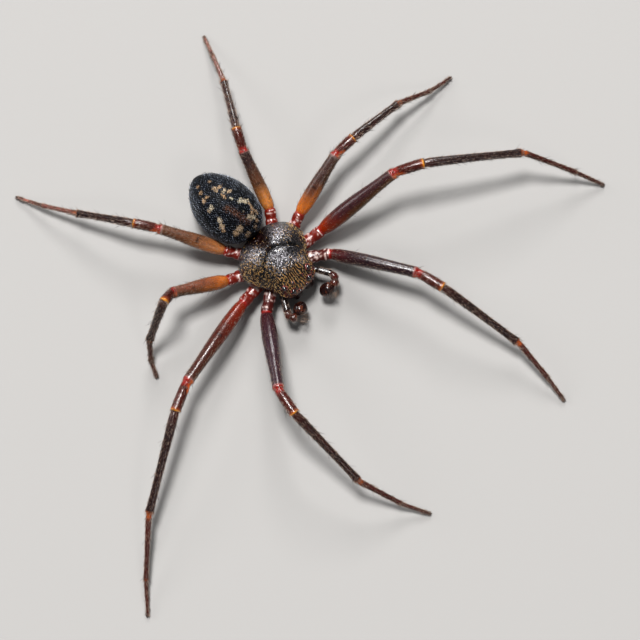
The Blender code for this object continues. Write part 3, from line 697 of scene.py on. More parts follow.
def marked(colour, place):
    """A ground colour with the heart mark and the spots laid over it."""
    if place.z < ABDOMEN_CENTRE.z:
        flank = ease(0.1, 0.5, rough(place, 0.2)) * ease(0.5, 1.3, place.z)
        return mix(colour, GOLD, 0.2 * flank)
    off_heart = place.x - HEART_START - HEART_SLOPE * place.y
    heart = bell(off_heart, 0.14) * ease(0.85, 1.15, place.y) * ease(2.35, 2.1, place.y)
    heart *= ease(-0.25, 0.2, rough(place, 0.06))
    colour = mix(colour, HEART, 0.35 * heart)
    amount, cream = spot_at(place)
    return mix(colour, mix(GOLD, CREAM, cream), 0.6 * amount)


def abdomen_colour(place):
    return marked(mix(DEEP_BLACK, BLUE_BLACK, ease(-0.4, 0.5, rough(place, 0.25))), place)


abdomen_shape = moulded_ball(230, 170, abdomen_place)
abdomen_tree = BVHTree.FromBMesh(abdomen_shape)
add_piece(
    "abdomen_skin", abdomen_shape, abdomen_finish, ["abdomen"],
    lambda vertex: abdomen_colour(vertex.co),
)

# %% [markdown]
# Each leg has a coxa, trochanter, femur, patella, tibia, metatarsus and tarsus. The solids keep the thin
# ones stout, and the real ones are as thin as a bristle, so the skins follow the same joints with their
# true thickness. Every segment ends in a rim, and the next begins in a narrower neck of bare membrane.

# %% Joints and thickness of the legs
HIPS = {  # where each coxa starts, and the far ends of coxa and trochanter, with x outwards on either side
    1: ((0.87, -1.56, 0.76), (1.57, -2.05, 0.84), (2.00, -2.35, 0.95)),
    2: ((1.19, -1.12, 0.76), (1.95, -1.22, 0.84), (2.42, -1.29, 0.95)),
    3: ((1.24, -0.45, 0.76), (1.87, -0.19, 0.84), (2.26, -0.04, 0.95)),
    4: ((0.74, 0.10, 0.76), (1.15, 0.69, 0.84), (1.40, 1.05, 0.95)),
}
FAR_ENDS = {  # of femur, patella, tibia, metatarsus and tarsus
    ("left", 1): (
        (4.16, -5.81, 1.95), (4.49, -7.06, 2.10), (5.36, -11.13, 1.05),
        (5.29, -13.15, 0.50), (5.18, -14.36, 0.10)
    ),
    ("left", 2): (
        (6.44, -1.85, 2.80), (7.62, -2.48, 3.05), (11.36, -5.10, 2.15),
        (12.72, -7.29, 0.80), (13.35, -8.46, 0.10)
    ),
    ("left", 3): (
        (5.23, 0.70, 1.90), (6.27, 0.69, 2.00), (8.97, 0.54, 1.25), (10.53, 0.07, 0.50), (11.71, -0.06, 0.10)
    ),
    ("left", 4): (
        (2.27, 3.73, 1.85), (2.74, 4.68, 1.95), (3.92, 6.82, 1.00), (4.42, 8.12, 0.50), (4.78, 9.11, 0.10)
    ),
    ("right", 1): (
        (4.09, -5.45, 2.85), (4.30, -6.73, 3.00), (4.19, -10.79, 1.60),
        (3.44, -12.74, 0.55), (2.78, -13.93, 0.10)
    ),
    ("right", 2): (
        (6.80, -2.30, 1.90), (8.05, -2.91, 2.05), (12.04, -5.41, 1.10),
        (14.14, -7.43, 0.40), (15.12, -8.60, 0.10)
    ),
    ("right", 3): (
        (4.55, 1.08, 2.30), (5.10, 0.92, 3.05), (6.66, 0.35, 1.15), (7.20, -0.24, 0.30), (7.52, -0.96, 0.10)
    ),
    ("right", 4): (
        (2.96, 3.75, 1.70), (3.63, 4.68, 1.80), (5.15, 6.93, 1.00), (6.01, 8.35, 0.50), (6.56, 9.48, 0.10)
    ),
}
LEG_JOINTS = {
    (side, pair): [Vector((SIDES[side] * x, y, z)) for x, y, z in (*HIPS[pair], *far_ends)]
    for (side, pair), far_ends in FAR_ENDS.items()
}
COXA, TROCHANTER, FEMUR, PATELLA, TIBIA, METATARSUS, TARSUS = range(7)
RADII = {
    1: (0.31, 0.28, 0.25, 0.24, 0.185, 0.12, 0.085),
    2: (0.31, 0.29, 0.25, 0.24, 0.19, 0.12, 0.085),
    3: (0.3, 0.27, 0.24, 0.23, 0.18, 0.11, 0.08),
    4: (0.3, 0.27, 0.23, 0.22, 0.17, 0.1, 0.075),
}
SWELL = {  # how much thicker than its far end a femur is where it is thickest
    ("left", 1): 0.06, ("left", 2): 0.14, ("left", 3): 0.1, ("left", 4): 0.08,
    ("right", 1): 0.11, ("right", 2): 0.09, ("right", 3): 0.09, ("right", 4): 0.1,
}
SWELLING = ((0.0, 0.3), (0.12, 0.75), (0.3, 1.0), (0.5, 0.8), (0.75, 0.25), (1.0, 0.0))
BOW = (0.0, 0.0, 0.035, 0.02, 0.025, 0.02, 0.0)  # how far each segment arches up, as a share of its length
FORMS = (  # thickness along each segment, as (share of its length, share of its radius)
    ((0.0, 0.9), (0.3, 1.0), (0.6, 0.98), (0.85, 0.97), (0.94, 0.93), (1.0, 0.86)),
    ((0.0, 0.88), (0.2, 0.95), (0.45, 1.0), (0.75, 1.0), (0.9, 0.96), (1.0, 0.88)),
    ((0.0, 0.84), (0.025, 0.9), (0.08, 0.99), (0.3, 1.0), (0.9, 1.0), (0.955, 1.04), (0.975, 1.02),
     (0.985, 0.9), (1.0, 0.84)),
    ((0.0, 0.84), (0.05, 0.86), (0.15, 0.93), (0.4, 1.0), (0.7, 1.02), (0.9, 1.0), (0.95, 1.04),
     (0.975, 0.98), (0.985, 0.8), (1.0, 0.74)),
    ((0.0, 0.95), (0.015, 0.98), (0.04, 1.08), (0.12, 1.12), (0.3, 1.04), (0.6, 0.92), (0.88, 0.94),
     (0.95, 1.06), (0.97, 1.04), (0.98, 0.8), (1.0, 0.7)),
    ((0.0, 1.0), (0.03, 1.1), (0.1, 1.1), (0.35, 0.98), (0.75, 0.88), (0.94, 0.98), (0.97, 1.0), (0.985, 0.8),
     (1.0, 0.72)),
    ((0.0, 0.85), (0.06, 0.98), (0.4, 0.95), (0.75, 0.85), (0.92, 0.68), (0.98, 0.45), (1.0, 0.2)),
)
ROUNDING = 0.17  # how far from a joint its bend reaches
STEP = 0.09
LOOK_AHEAD = 0.03  # either side of a station, to find its direction


def bowed(joints, bows, distance):
    """The point at a distance along a limb whose segments are slightly arched."""
    for index, (start, end) in enumerate(zip(joints, joints[1:])):
        length = (end - start).length
        if distance <= length or index == len(joints) - 2:
            t = min(max(distance / length, 0.0), 1.0)
            return start.lerp(end, t) + Vector((0, 0, 4 * t * (1 - t) * bows[index] * length))
        distance -= length


def limb_stations(joints, bows, forms, radii, swell=0.0, step=STEP):
    """(centre, direction, radius, segment, share, distance) along a limb."""
    lengths = [(end - start).length for start, end in zip(joints, joints[1:])]
    total = sum(lengths)

    def centre(distance):
        reach = min(ROUNDING, distance, total - distance)
        points = [bowed(joints, bows, distance + shift * reach) for shift in (-1, -0.5, 0, 0.5, 1)]
        return sum(points, Vector()) / 5

    stations, passed = [], 0.0
    for segment, length in enumerate(lengths):
        count = max(int(length / step), 2)
        shares = {round(number / count, 4) for number in range(count)}
        shares |= {share for share, _ in forms[segment]}
        shares.discard(1.0 if segment < len(lengths) - 1 else None)
        for share in sorted(shares):
            distance = passed + share * length
            ahead, behind = centre(min(distance + LOOK_AHEAD, total)), centre(max(distance - LOOK_AHEAD, 0.0))
            base = radii[segment] + (swell * curve_table(SWELLING, share) if segment == FEMUR else 0.0)
            radius = base * curve_table(forms[segment], share)
            way = (ahead - behind).normalized()
            stations.append((centre(distance), way, radius, segment, share, distance))
        passed += length
    return stations


# %% [markdown]
# The legs carry the animal's colours. Coxae and trochanters are wet-looking red, with whitish arcs across
# their tops that are painted highlights. The first femora are purple-brown, the second red-orange and the
# last two pairs amber, and all darken outwards; a thin painted highlight crosses each femur's top near the
# knee. Where the light falls, the top and back of each leg but one are painted darker, with a painted
# sheen on some, and a painted glow, as of light shone through, makes the front clearer. Bare membrane is
# orange-red, painted brighter orange in that glow, the knee ends in a yellow-orange ring, and a thin
# orange collar marks the next joint. What lies beyond is dark red-brown.

# %% Colours of the legs
JOINT_RED = chip(168, 38, 32)
# painted glow of bare membrane, as of light shone through
JOINT_PAINTED_GLOW = chip(255, 122, 36)
HIP_RED = chip(150, 40, 24)
HIP_DARK = chip(96, 30, 26)
# the colour of painted highlights on coxae, trochanters and femora
HIGHLIGHT_WHITE = chip(250, 222, 214)
RING_YELLOW = chip(246, 168, 60)
COLLAR = chip(196, 96, 38)
KNEE_BROWN = chip(88, 36, 28)
SHIN_BROWN = chip(50, 33, 31)
FOOT_BROWN = chip(88, 42, 36)
FOOT_PINK = chip(168, 112, 100)
THIGHS = {  # base, far end, the darker painted tone of the top and back with painted sheen on some, and where the change to the far end begins and ends
    ("left", 1): (chip(84, 32, 32), chip(52, 29, 28), chip(52, 32, 38), 0.1, 0.6),
    ("left", 2): (chip(166, 56, 10), chip(106, 66, 20), chip(66, 36, 48), 0.05, 0.5),
    ("left", 3): (chip(246, 142, 56), chip(88, 56, 34), chip(76, 50, 46), 0.2, 0.6),
    ("left", 4): (chip(250, 164, 84), chip(76, 34, 22), chip(58, 44, 46), 0.35, 0.8),
    ("right", 1): (chip(70, 36, 42), chip(60, 34, 34), chip(70, 46, 56), 0.1, 0.8),
    ("right", 2): (chip(140, 42, 16), chip(96, 52, 30), chip(84, 46, 40), 0.1, 0.8),
    ("right", 3): (chip(222, 130, 58), chip(102, 72, 48), chip(140, 88, 70), 0.15, 0.75),
    ("right", 4): (chip(216, 142, 86), chip(92, 58, 34), chip(120, 82, 62), 0.25, 0.8),
}
GLOW_AT_BACK = ("left", 4)  # the one leg whose painted glow lies on its rear side, with the darker painted tone on its front
SPINE_PLACE = 0.43  # of the dark spine on top of each femur
GLINT_ARCS = ((0.5, 0.7, 0.95), (0.3, 0.6, 0.95))  # of the whitish painted highlight arcs across coxa and trochanter


def leg_colour(side, pair, segment, share, out, place):
    """out points away from the middle of the leg. A painted glow, as of light shone through, makes the front
    of each leg but one clearer, and its top and back are painted darker where the light falls, with a painted
    sheen on some.
    """
    wander = rough(place, 0.4)
    # Painted light: a painted glow, as of light shone through, on the front of each leg but one, and a darker
    # painted tone with sheen on its top and back.
    ahead = out.y if (side, pair) == GLOW_AT_BACK else -out.y
    glow_side = ease(-0.1, 0.75, ahead - 0.3 * out.z + 0.15 * wander)
    # the membrane's own red, painted bright orange where the painted glow falls
    membrane = mix(JOINT_RED, JOINT_PAINTED_GLOW, glow_side)
    if segment <= TROCHANTER:
        shaken = share + 0.12 * rough(place, 0.25)
        ring = max(bell(shaken - arc, 0.05) for arc in GLINT_ARCS[segment])
        # painted highlights: whitish arcs across the tops of coxa and trochanter, broken by noise
        painted_glint = ease(0.35, 0.65, ring * ease(-0.1, 0.4, out.z) * ease(-0.35, 0.0, rough(place, 0.15)))
        colour = HIP_DARK if pair == 1 else HIP_RED
        colour = mix(colour, KNEE_BROWN, 0.35 * ease(0.0, 0.8, out.z + 0.3 * wander))
        return mix(colour, HIGHLIGHT_WHITE, 0.95 * painted_glint)
    if segment == FEMUR:
        base, far, lit_side_tone, start, end = THIGHS[side, pair]
        colour = mix(base, far, ease(start, end, share + 0.1 * wander))
        # the top and back painted darker where the light falls, with a painted sheen on some legs
        colour = mix(colour, lit_side_tone, 0.85 * (1 - glow_side) * ease(0.0, 0.6 * end, share + 0.05 * wander))
        colour = mix(colour, EYE_BLACK, 0.8 * bell(share - SPINE_PLACE, 0.012) * ease(0.8, 0.96, out.z))
        colour = mix(JOINT_RED, colour, ease(0.0, 0.05, share))
        # a thin painted highlight across the top of the femur, near the knee
        colour = mix(colour, HIGHLIGHT_WHITE, 0.7 * bell(share - 0.95, 0.007) * ease(0.1, 0.6, out.z))
        return mix(colour, membrane, ease(0.94, 0.97, share))
    if segment == PATELLA:
        # the membrane's painted glow reaches further on the glowing side
        reach = 0.05 + 0.22 * glow_side
        colour = mix(membrane, KNEE_BROWN, ease(reach, reach + 0.14, share))
        colour = mix(colour, COLLAR, 0.6 * ease(0.84, 0.94, share))
        return mix(colour, RING_YELLOW, ease(0.94, 0.955, share))
    if segment == TIBIA:
        # warm at the base and at random, and warmer still where the painted glow falls
        warm_and_glow = 0.5 * bell(share, 0.1) + 0.2 * ease(0.0, 0.8, wander) + 0.3 * glow_side
        return mix(mix(SHIN_BROWN, KNEE_BROWN, warm_and_glow), COLLAR, ease(0.955, 0.975, share))
    outer = FOOT_PINK if pair == 4 else FOOT_BROWN
    if segment == METATARSUS:
        colour = mix(COLLAR, mix(FOOT_BROWN, outer, 0.6), ease(0.02, 0.08, share))
        return mix(colour, COLLAR, 0.5 * ease(0.955, 0.985, share))
    return mix(FOOT_BROWN, outer, ease(0.0, 0.5, share))


# %% [markdown]
# One tube runs the whole length of each leg, from inside the trunk to the end of the tarsus, so that no
# gap can open at a bend. Separate segments would show their joints better on a leg that moves, and these
# don't. Each ring of the tube keeps its station's number, which tells the paint what segment it is on.

# %% Make the legs
LEG_SIDES = 22
FLATNESS = 0.96  # height of a limb over its width
HIDDEN_ROOT = 0.42  # how far a leg starts inside the trunk
stations_of = {}


def limb_shape(stations, sides):
    rings = []
    for centre, way, radius, _, _, distance in stations:
        rings.append((ring_frame(centre, way, radius, radius * FLATNESS), distance))
    return drawn_tube(bmesh.new(), rings, sides)


def leg_node(side, pair):
    return "leg_%d_%s" % (pair, side)


for (side, pair), joints in LEG_JOINTS.items():
    inwards = (joints[0] - joints[1]).normalized() * HIDDEN_ROOT
    stations = limb_stations([joints[0] + inwards, *joints[1:]], BOW, FORMS, RADII[pair], SWELL[side, pair])
    stations_of[side, pair] = stations
    shape = limb_shape(stations, LEG_SIDES)
    ring_of = shape.verts.layers.int["ring"]
    rings = [point[ring_of] for point in shape.verts]

    def paint(vertex):
        centre, _, _, segment, share, _ = stations[rings[vertex.index]]
        return leg_colour(side, pair, segment, share, (vertex.co - centre).normalized(), vertex.co)

    node = leg_node(side, pair)
    add_piece(node + "_skin", shape, leg_finish, [node], paint)

# %% [markdown]
# Each foot ends in a pair of claws under a small tuft of hair. A claw is a tube along an arc, thick at
# its root and sharp at its end. The last direction of the leg says which way it points.

# %% Claws
CLAW_LENGTH = 0.16
CLAW_SPREAD = 0.035
CLAW_STEPS = 6
CLAW_RADIUS, CLAW_TIP, CLAW_CURL = 0.024, 0.003, 0.05
CLAW_CLEARANCE = 0.012  # least height over the floor
CLAW_BLACK = chip(24, 14, 14)
for (side, pair), stations in stations_of.items():
    tip, way = stations[-1][0], stations[-1][1]
    aside = way.cross(Vector((0, 0, 1))).normalized()
    shape = bmesh.new()
    for sign in SIDES.values():
        rings = []
        for step in range(CLAW_STEPS + 1):
            share = step / CLAW_STEPS
            centre = tip + way * CLAW_LENGTH * (share - 0.3) + aside * sign * CLAW_SPREAD * (0.4 + share)
            centre.z = max(centre.z - CLAW_CURL * share**2, CLAW_CLEARANCE)
            thick = CLAW_RADIUS * (1 - share) ** 0.7 + CLAW_TIP
            rings.append((ring_frame(centre, way, thick, thick), share))
        drawn_tube(shape, rings, 8)
    node = leg_node(side, pair)
    add_piece(node + "_claws", shape, jaw_finish, [node], lambda vertex: CLAW_BLACK)

# %% [markdown]
# A grown male's palps end in a swollen tarsus: a hairy cap over a glossy bulb. The cap is the end of a
# tube like a leg's, and the bulb is a ball with a faint spiral ripple, pressed against it. The fine
# parts of a real bulb are left out.

# %% Palps
PALP_JOINTS = {
    "left": (
        (0.75, -2.09, 0.80), (1.02, -2.42, 1.02), (1.42, -3.08, 1.08),
        (1.38, -3.36, 1.00), (1.12, -3.46, 0.92)
    ),
    "right": (
        (-0.75, -2.09, 0.80), (-0.95, -2.38, 1.02), (-1.27, -2.97, 1.08),
        (-1.38, -3.24, 1.00), (-1.14, -3.38, 0.92)
    ),
}
BULB_MIDDLE = {"left": (0.78, -3.42, 0.82), "right": (-0.74, -3.24, 0.82)}
PALP_DARK = chip(30, 20, 21)
PALP_RED = chip(74, 28, 23)
BULB_RED = chip(40, 18, 17)
BULB_PALE = chip(156, 84, 52)
PALP_FORMS = (
    ((0.0, 0.9), (0.5, 1.0), (0.9, 0.98), (1.0, 0.8)),
    ((0.0, 0.75), (0.15, 0.88), (0.5, 0.95), (0.85, 1.0), (0.93, 0.98), (1.0, 0.75)),
    ((0.0, 0.78), (0.2, 0.98), (0.7, 1.05), (0.9, 1.0), (1.0, 0.78)),
    ((0.0, 0.8), (0.3, 1.05), (0.7, 1.2), (1.0, 1.15)),
)
PALP_RADII = (0.18, 0.16, 0.17, 0.17)
PALP_ROOT = 0.4  # how far a palp starts inside the head
PALP_SIDES = 18
BULB_RADIUS, BULB_HALF_LENGTH, BULB_TWIST = 0.32, 0.38, 0.012
palp_stations = {}


def palp_colour(segment, share, top):
    if segment == 0:
        return mix(PALP_RED, PALP_DARK, ease(0.2, 0.8, share))
    if segment == 1:
        return mix(mix(PALP_DARK, PALP_RED, 0.3 * (1 - top)), JOINT_RED, 0.7 * ease(0.9, 1.0, share))
    return mix(mix(PALP_RED, KNEE_BROWN, ease(0.1, 0.5, share)), COLLAR, 0.4 * ease(0.9, 1.0, share))


for side, joints in PALP_JOINTS.items():
    joints = [Vector(joint) for joint in joints]
    inwards = (joints[0] - joints[1]).normalized() * PALP_ROOT
    line = [joints[0] + inwards, *joints[1:]]
    stations = limb_stations(line, (0.0,) * 4, PALP_FORMS, PALP_RADII, step=0.05)
    palp_stations[side] = stations
    shape = limb_shape(stations, PALP_SIDES)
    ring_of = shape.verts.layers.int["ring"]
    straight_of = shape.verts.layers.float_vector["straight"]
    notes = [(point[ring_of], point[straight_of].y / MM) for point in shape.verts]

    def paint(vertex):
        number, rise = notes[vertex.index]
        _, _, radius, segment, share, _ = stations[number]
        return palp_colour(segment, share, 0.5 + 0.5 * rise / radius)

    add_piece("palp_" + side + "_skin", shape, palp_finish, ["palp_" + side], paint)
    middle = Vector(BULB_MIDDLE[side])
    seat = Matrix.Translation(middle) @ (middle - joints[-1]).to_track_quat("Z", "Y").to_matrix().to_4x4()

    def bulb_place(unit):
        wide = BULB_RADIUS + BULB_TWIST * math.sin(6 * unit.z + 2 * math.atan2(unit.y, unit.x))
        return seat @ Vector((unit.x * wide, unit.y * wide, unit.z * BULB_HALF_LENGTH))

    def bulb_paint(vertex):
        below = ease(0.9, 0.6, vertex.co.z)
        return mix(BULB_RED, BULB_PALE, 0.5 * below + 0.5 * ease(0.2, 0.6, rough(vertex.co, 0.15)))

    bulb = moulded_ball(40, 28, bulb_place)
    add_piece("palp_" + side + "_bulb", bulb, palp_finish, ["palp_" + side], bulb_paint)

# %% [markdown]
# The jaws hang under the front of the head as two stout black-red cones, each with a fang folded across
# its tip. Both are drawn tubes, because a short table of radii gives the swollen front and the blunt end.

# %% Jaws and fangs
JAW_BLACK = chip(20, 12, 13)
JAW_RED = chip(92, 26, 20)
FANG_RED = chip(86, 30, 18)
JAW_TOP = (0.36, -2.48, 1.25)
JAW_LEAN = math.radians(12.0)
JAW_LENGTH, JAW_RADIUS, JAW_BULGE = 0.98, 0.3, 0.16
JAW_STEPS, JAW_SIDES, FANG_SIDES = 24, 24, 10
JAW_FORM = (
    (0.0, 0.8), (0.2, 1.0), (0.35, 1.06), (0.5, 1.06), (0.7, 0.94), (0.85, 0.76), (0.95, 0.55), (1.0, 0.3)
)
FANG = (  # x outwards, y, z from the jaw's tip, and radius
    (0.06, 0.0, 0.14, 0.075), (0.05, 0.01, 0.0, 0.075), (-0.01, 0.05, -0.08, 0.055),
    (-0.1, 0.1, -0.1, 0.035), (-0.17, 0.14, -0.08, 0.01),
)
for side, sign in SIDES.items():
    top = Vector((sign * JAW_TOP[0], *JAW_TOP[1:]))
    way = Vector((0, math.sin(JAW_LEAN), -math.cos(JAW_LEAN)))
    shape = bmesh.new()
    rings = []
    for number in range(JAW_STEPS + 1):
        share = number / JAW_STEPS
        bulge = JAW_BULGE * math.sin(math.pi * min(share * 1.2, 1.0))
        radius = JAW_RADIUS * curve_table(JAW_FORM, share)
        centre = top + way * JAW_LENGTH * share - Vector((0, bulge, 0))
        rings.append((ring_frame(centre, way, radius, radius), share))
    drawn_tube(shape, rings, JAW_SIDES)
    tip = rings[-1][0].translation
    points = [(tip + Vector((sign * x, y, z)), radius) for x, y, z, radius in FANG]
    last = len(FANG) - 1
    rings = []
    for index, (place, radius) in enumerate(points):
        way = (points[min(index + 1, last)][0] - points[max(index - 1, 0)][0]).normalized()
        rings.append((ring_frame(place, way, radius, radius), 0.0))
    drawn_tube(shape, rings, FANG_SIDES)

    def paint(vertex):
        x, y, z = vertex.co
        if z < tip.z + 0.05:
            return FANG_RED
        return mix(JAW_RED, JAW_BLACK, ease(0.5, 0.9, z) * 0.8 + 0.2 * rough(vertex.co, 0.2))

    add_piece("jaw_" + side, shape, jaw_finish, ["chelicera_" + side], paint)

# %% [markdown]
# Underneath, a broad plate lies between the legs, with a small lip in front of it and the base of a palp
# on either side of the lip. They are flattened balls, a little thicker near the edge, set into the
# shield's underside.

# %% Breastplate, lip and palp bases
PLATES = (  # name, middle, half sizes, turn about the vertical, narrowing to the rear
    ("breastplate", (0.0, -0.82, 0.49), (0.6, 0.68, 0.07), 0.0, 0.4),
    ("lip", (0.0, -1.58, 0.47), (0.15, 0.2, 0.07), 0.0, -0.3),
    ("palp_base_left", (0.26, -1.68, 0.47), (0.13, 0.33, 0.1), 0.25, 0.0),
    ("palp_base_right", (-0.26, -1.68, 0.47), (0.13, 0.33, 0.1), -0.25, 0.0),
)
for name, middle, halves, turned, narrowing in PLATES:
    seat = Matrix.Translation(middle) @ Matrix.Rotation(turned, 4, "Z")

    def plate_place(unit):
        wide = halves[0] * (1 - narrowing * unit.y)
        rim = 0.15 * bell(math.hypot(unit.x, unit.y) - 0.85, 0.1)
        return seat @ Vector((unit.x * wide, unit.y * halves[1], unit.z * halves[2] * (1 + rim)))

    def plate_paint(vertex):
        return mix(mix(BELLY, RED_BROWN, 0.5), BLACK, 0.3 + 0.3 * rough(vertex.co, 0.2))

    shape = moulded_ball(48, 32, plate_place)
    add_piece(name, shape, belly_finish, ["cephalothorax"], plate_paint)

# %% [markdown]
# The waist is a short stalk that joins the trunk to the abdomen. The spinnerets are six small cones on a
# low mound at the rear, which leans out along the abdomen's own surface.

# %% Waist and spinnerets
WAIST = ((-0.3, 0.26), (0.2, 0.26), (0.5, 0.22), (0.7, 0.2), (0.9, 0.24), (1.3, 0.26))  # y and radius
WAIST_Z, WAIST_RISE = 0.97, 0.1
rings = []
for y, radius in WAIST:
    centre = Vector((0, y, WAIST_Z + WAIST_RISE * y))
    rings.append((ring_frame(centre, Vector((0, 1, WAIST_RISE)), radius, radius), y))
waist = drawn_tube(bmesh.new(), rings, 20)
add_piece("waist", waist, leg_finish, ["cephalothorax"], lambda vertex: KNEE_BROWN)

drop = math.radians(30.0)  # how far under the level of the middle the spinnerets stand
unit = Vector((0, math.cos(drop), -math.sin(drop)))
lean = Vector((0, unit.y / ABDOMEN_HALVES.y, unit.z / ABDOMEN_HALVES.z)).normalized()
root = abdomen_place(unit)
MOUND = ((-0.12, 0.3), (0.0, 0.29), (0.08, 0.26), (0.15, 0.2), (0.18, 0.1))  # height and radius
CONE = ((0, 1), (0.4, 1.0), (0.55, 0.9), (0.62, 0.75), (0.9, 0.62), (1.1, 0.3))  # shares of length and radius
shape = bmesh.new()
mound = [(ring_frame(root + lean * height, lean, radius, radius), height) for height, radius in MOUND]
drawn_tube(shape, mound, 20)
for sign in SIDES.values():
    for rise, length, width in ((0.1, 0.26, 0.1), (0.0, 0.16, 0.06), (-0.1, 0.24, 0.11)):
        spread = Vector((sign * (0.11 if rise else 0.05), 0, rise))
        start = root + spread + lean * 0.02
        way = (lean * 1.5 + spread).normalized()
        cone = []
        for share, thick in CONE:
            radius = width * thick
            cone.append((ring_frame(start + way * length * share, way, radius, radius), share))
        drawn_tube(shape, cone, 12)
SPINNERET_BROWN = chip(96, 64, 48)
add_piece("spinneret_cones", shape, belly_finish, ["spinnerets"], lambda vertex: SPINNERET_BROWN)

# %% [markdown]
# Hair is made once and planted many times. The model hair is a three-sided sliver with a bend in it, ten
# triangles in all. Each planted hair says where its root is, which way it leans and away from what
# surface, how long and thick it is, and its colour. A small patch of the bake map belongs to each hair,
# at its root's own place on the skin, so that a baked texture keeps every hair's colour.

# %% The model hair and how it is planted
hair_model = bmesh.new()
bmesh.ops.create_circle(hair_model, cap_ends=True, segments=3, radius=1.0)
tip_face = hair_model.faces[:][0]
for width in (0.75, 0.5):
    grown = bmesh.ops.extrude_face_region(hair_model, geom=[tip_face, *tip_face.edges])["geom"]
    ends = [item for item in grown if isinstance(item, bmesh.types.BMVert)]
    tip_face = next(item for item in grown if isinstance(item, bmesh.types.BMFace))
    bmesh.ops.scale(hair_model, vec=(width, width, 1.0), verts=ends)
    bmesh.ops.translate(hair_model, vec=(0, 0, 0.5), verts=ends)
bmesh.ops.pointmerge(hair_model, verts=ends, merge_co=(0, 0, 1.0))
bmesh.ops.triangulate(hair_model, faces=hair_model.faces)
bmesh.ops.recalc_face_normals(hair_model, faces=hair_model.faces)
hair_mesh = bpy.data.meshes.new("model_hair")
hair_model.to_mesh(hair_mesh)
hair_model.free()
PATCH = 0.003


def plant(name, hairs, nodes):
    """hairs: (root, direction, outwards, length, radius, bend, colour, (u, v))."""
    shape = bmesh.new()
    for _ in hairs:
        shape.from_mesh(hair_mesh)
    mesh = bpy.data.meshes.new(name)
    shape.to_mesh(mesh)
    shape.free()
    count = len(hair_mesh.vertices)
    model = np.array([vertex.co[:] for vertex in hair_mesh.vertices])
    root, way, out = (np.array([hair[i] for hair in hairs])[:, None, :] for i in range(3))
    length, radius, bend = (np.array([hair[i] for hair in hairs])[:, None, None] for i in range(3, 6))
    side = np.cross(way, out)
    side /= np.maximum(np.linalg.norm(side, axis=2, keepdims=True), 1e-9)
    up = np.cross(side, way)
    x, y, h = (model[None, :, i, None] for i in range(3))
    points = root + way * h * length + out * (-bend * length * h * h) + (side * x + up * y) * radius
    mesh.vertices.foreach_set("co", points.reshape(-1))
    colours = np.repeat(np.array([hair[6] for hair in hairs]), count, axis=0)
    lighter = np.tile(0.75 + 0.5 * model[:, 2], len(hairs))[:, None]
    paint_mesh(mesh, colours * lighter)
    corner = np.zeros(len(mesh.loops), dtype=np.int32)
    mesh.loops.foreach_get("vertex_index", corner)
    hair_number, vertex_number = corner // count, corner % count
    base = np.array([hair[7] for hair in hairs])[hair_number]
    across = model[vertex_number, 0] * 0.3 + model[vertex_number, 1] * 0.15 + 0.5
    patch = np.stack((across, model[vertex_number, 2]), axis=1)
    mesh.uv_layers.new(name="OFBake").data.foreach_set("uv", (base * (1 - PATCH) + patch * PATCH).ravel())
    mesh.transform(PLACE)
    mesh.update()
    mesh.materials.append(hair_finish)
    piece = bpy.data.objects.new(name, mesh)
    bpy.context.scene.collection.objects.link(piece)
    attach(piece, "root")
    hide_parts(*nodes)
    print(name, "has", len(hairs), "hairs,", len(mesh.polygons), "triangles")
    return piece


# %% [markdown]
# The shield's hairs are short, flat and golden. They are thickest down the right flank and round the
# head, thin out over the lobes, and between the eyes they lie in fine wavy rows along the body, with
# black showing between the rows.

# %% Hairs of the shield
draw = random.Random(11)
GOLD_HAIR = chip(226, 164, 78)
PALE_GOLD = chip(244, 204, 136)
BEND = 0.15  # how far a short hair curves down, as a share of its length
hairs = []


def shield_hair(x, y, lean, length, radius, colour, lift=0.3):
    place, normal = on_shield(x, y)
    if place is None or normal.z < 0.1:
        return
    flat = Vector((math.sin(lean), -math.cos(lean), 0.0))
    way = (flat - normal * flat.dot(normal)).normalized() + normal * lift
    spread = (0.5 + x / 4, 0.5 + (y - SHIELD_CENTRE_Y) / 4)
    root = place - normal * 0.3 * radius
    hairs.append((root, way.normalized(), normal, length, radius, BEND, colour, spread))


SPECK_SPACING = 0.042
cells = int(1.9 / SPECK_SPACING)
for row in range(-cells, cells + 1):
    for column in range(-cells, cells + 1):
        x = (row + draw.uniform(-0.45, 0.45)) * SPECK_SPACING
        y = SHIELD_CENTRE_Y + (column + draw.uniform(-0.45, 0.45)) * SPECK_SPACING
        bearing = math.atan2(x, -(y - SHIELD_CENTRE_Y))
        share = math.hypot(x, y - SHIELD_CENTRE_Y) / outline_at(bearing)
        if share > 0.985:
            continue
        flank = 0.6 * ease(-0.1, -0.7, x) * ease(0.2, -0.4, y)
        edge = 0.5 * ease(0.7, 0.95, share) * ease(0.3, -0.4, y)
        head = 0.6 * ease(-1.2, -1.8, y) * (1 - between_eyes(x, y))
        shoulder = 0.4 * bell(math.hypot(x - 0.95, y + 0.45), 0.35)
        patchy = ease(-0.3, 0.1, rough(Vector((x, y, 3)), 0.1))
        if draw.random() < max(flank, edge, head, shoulder, 0.05) * patchy:
            lean = 0.35 * math.sin(bearing) + draw.gauss(0, 0.5)
            shade = mix(GOLD_HAIR, PALE_GOLD, draw.random())
            shield_hair(x, y, lean, draw.uniform(0.05, 0.1), draw.uniform(0.007, 0.012), shade)
for _ in range(2600):
    x, y = draw.uniform(-0.7, 0.6), draw.uniform(-2.68, -1.75)
    if ridge_wave(x, y) < -0.7 and draw.random() < between_eyes(x, y):
        shield_hair(x, y, draw.gauss(0.0, 0.15), 0.07, 0.01, mix(GOLD_HAIR, PALE_GOLD, draw.random()), 0.2)
plant("shield_hairs", hairs, ["cephalothorax"])

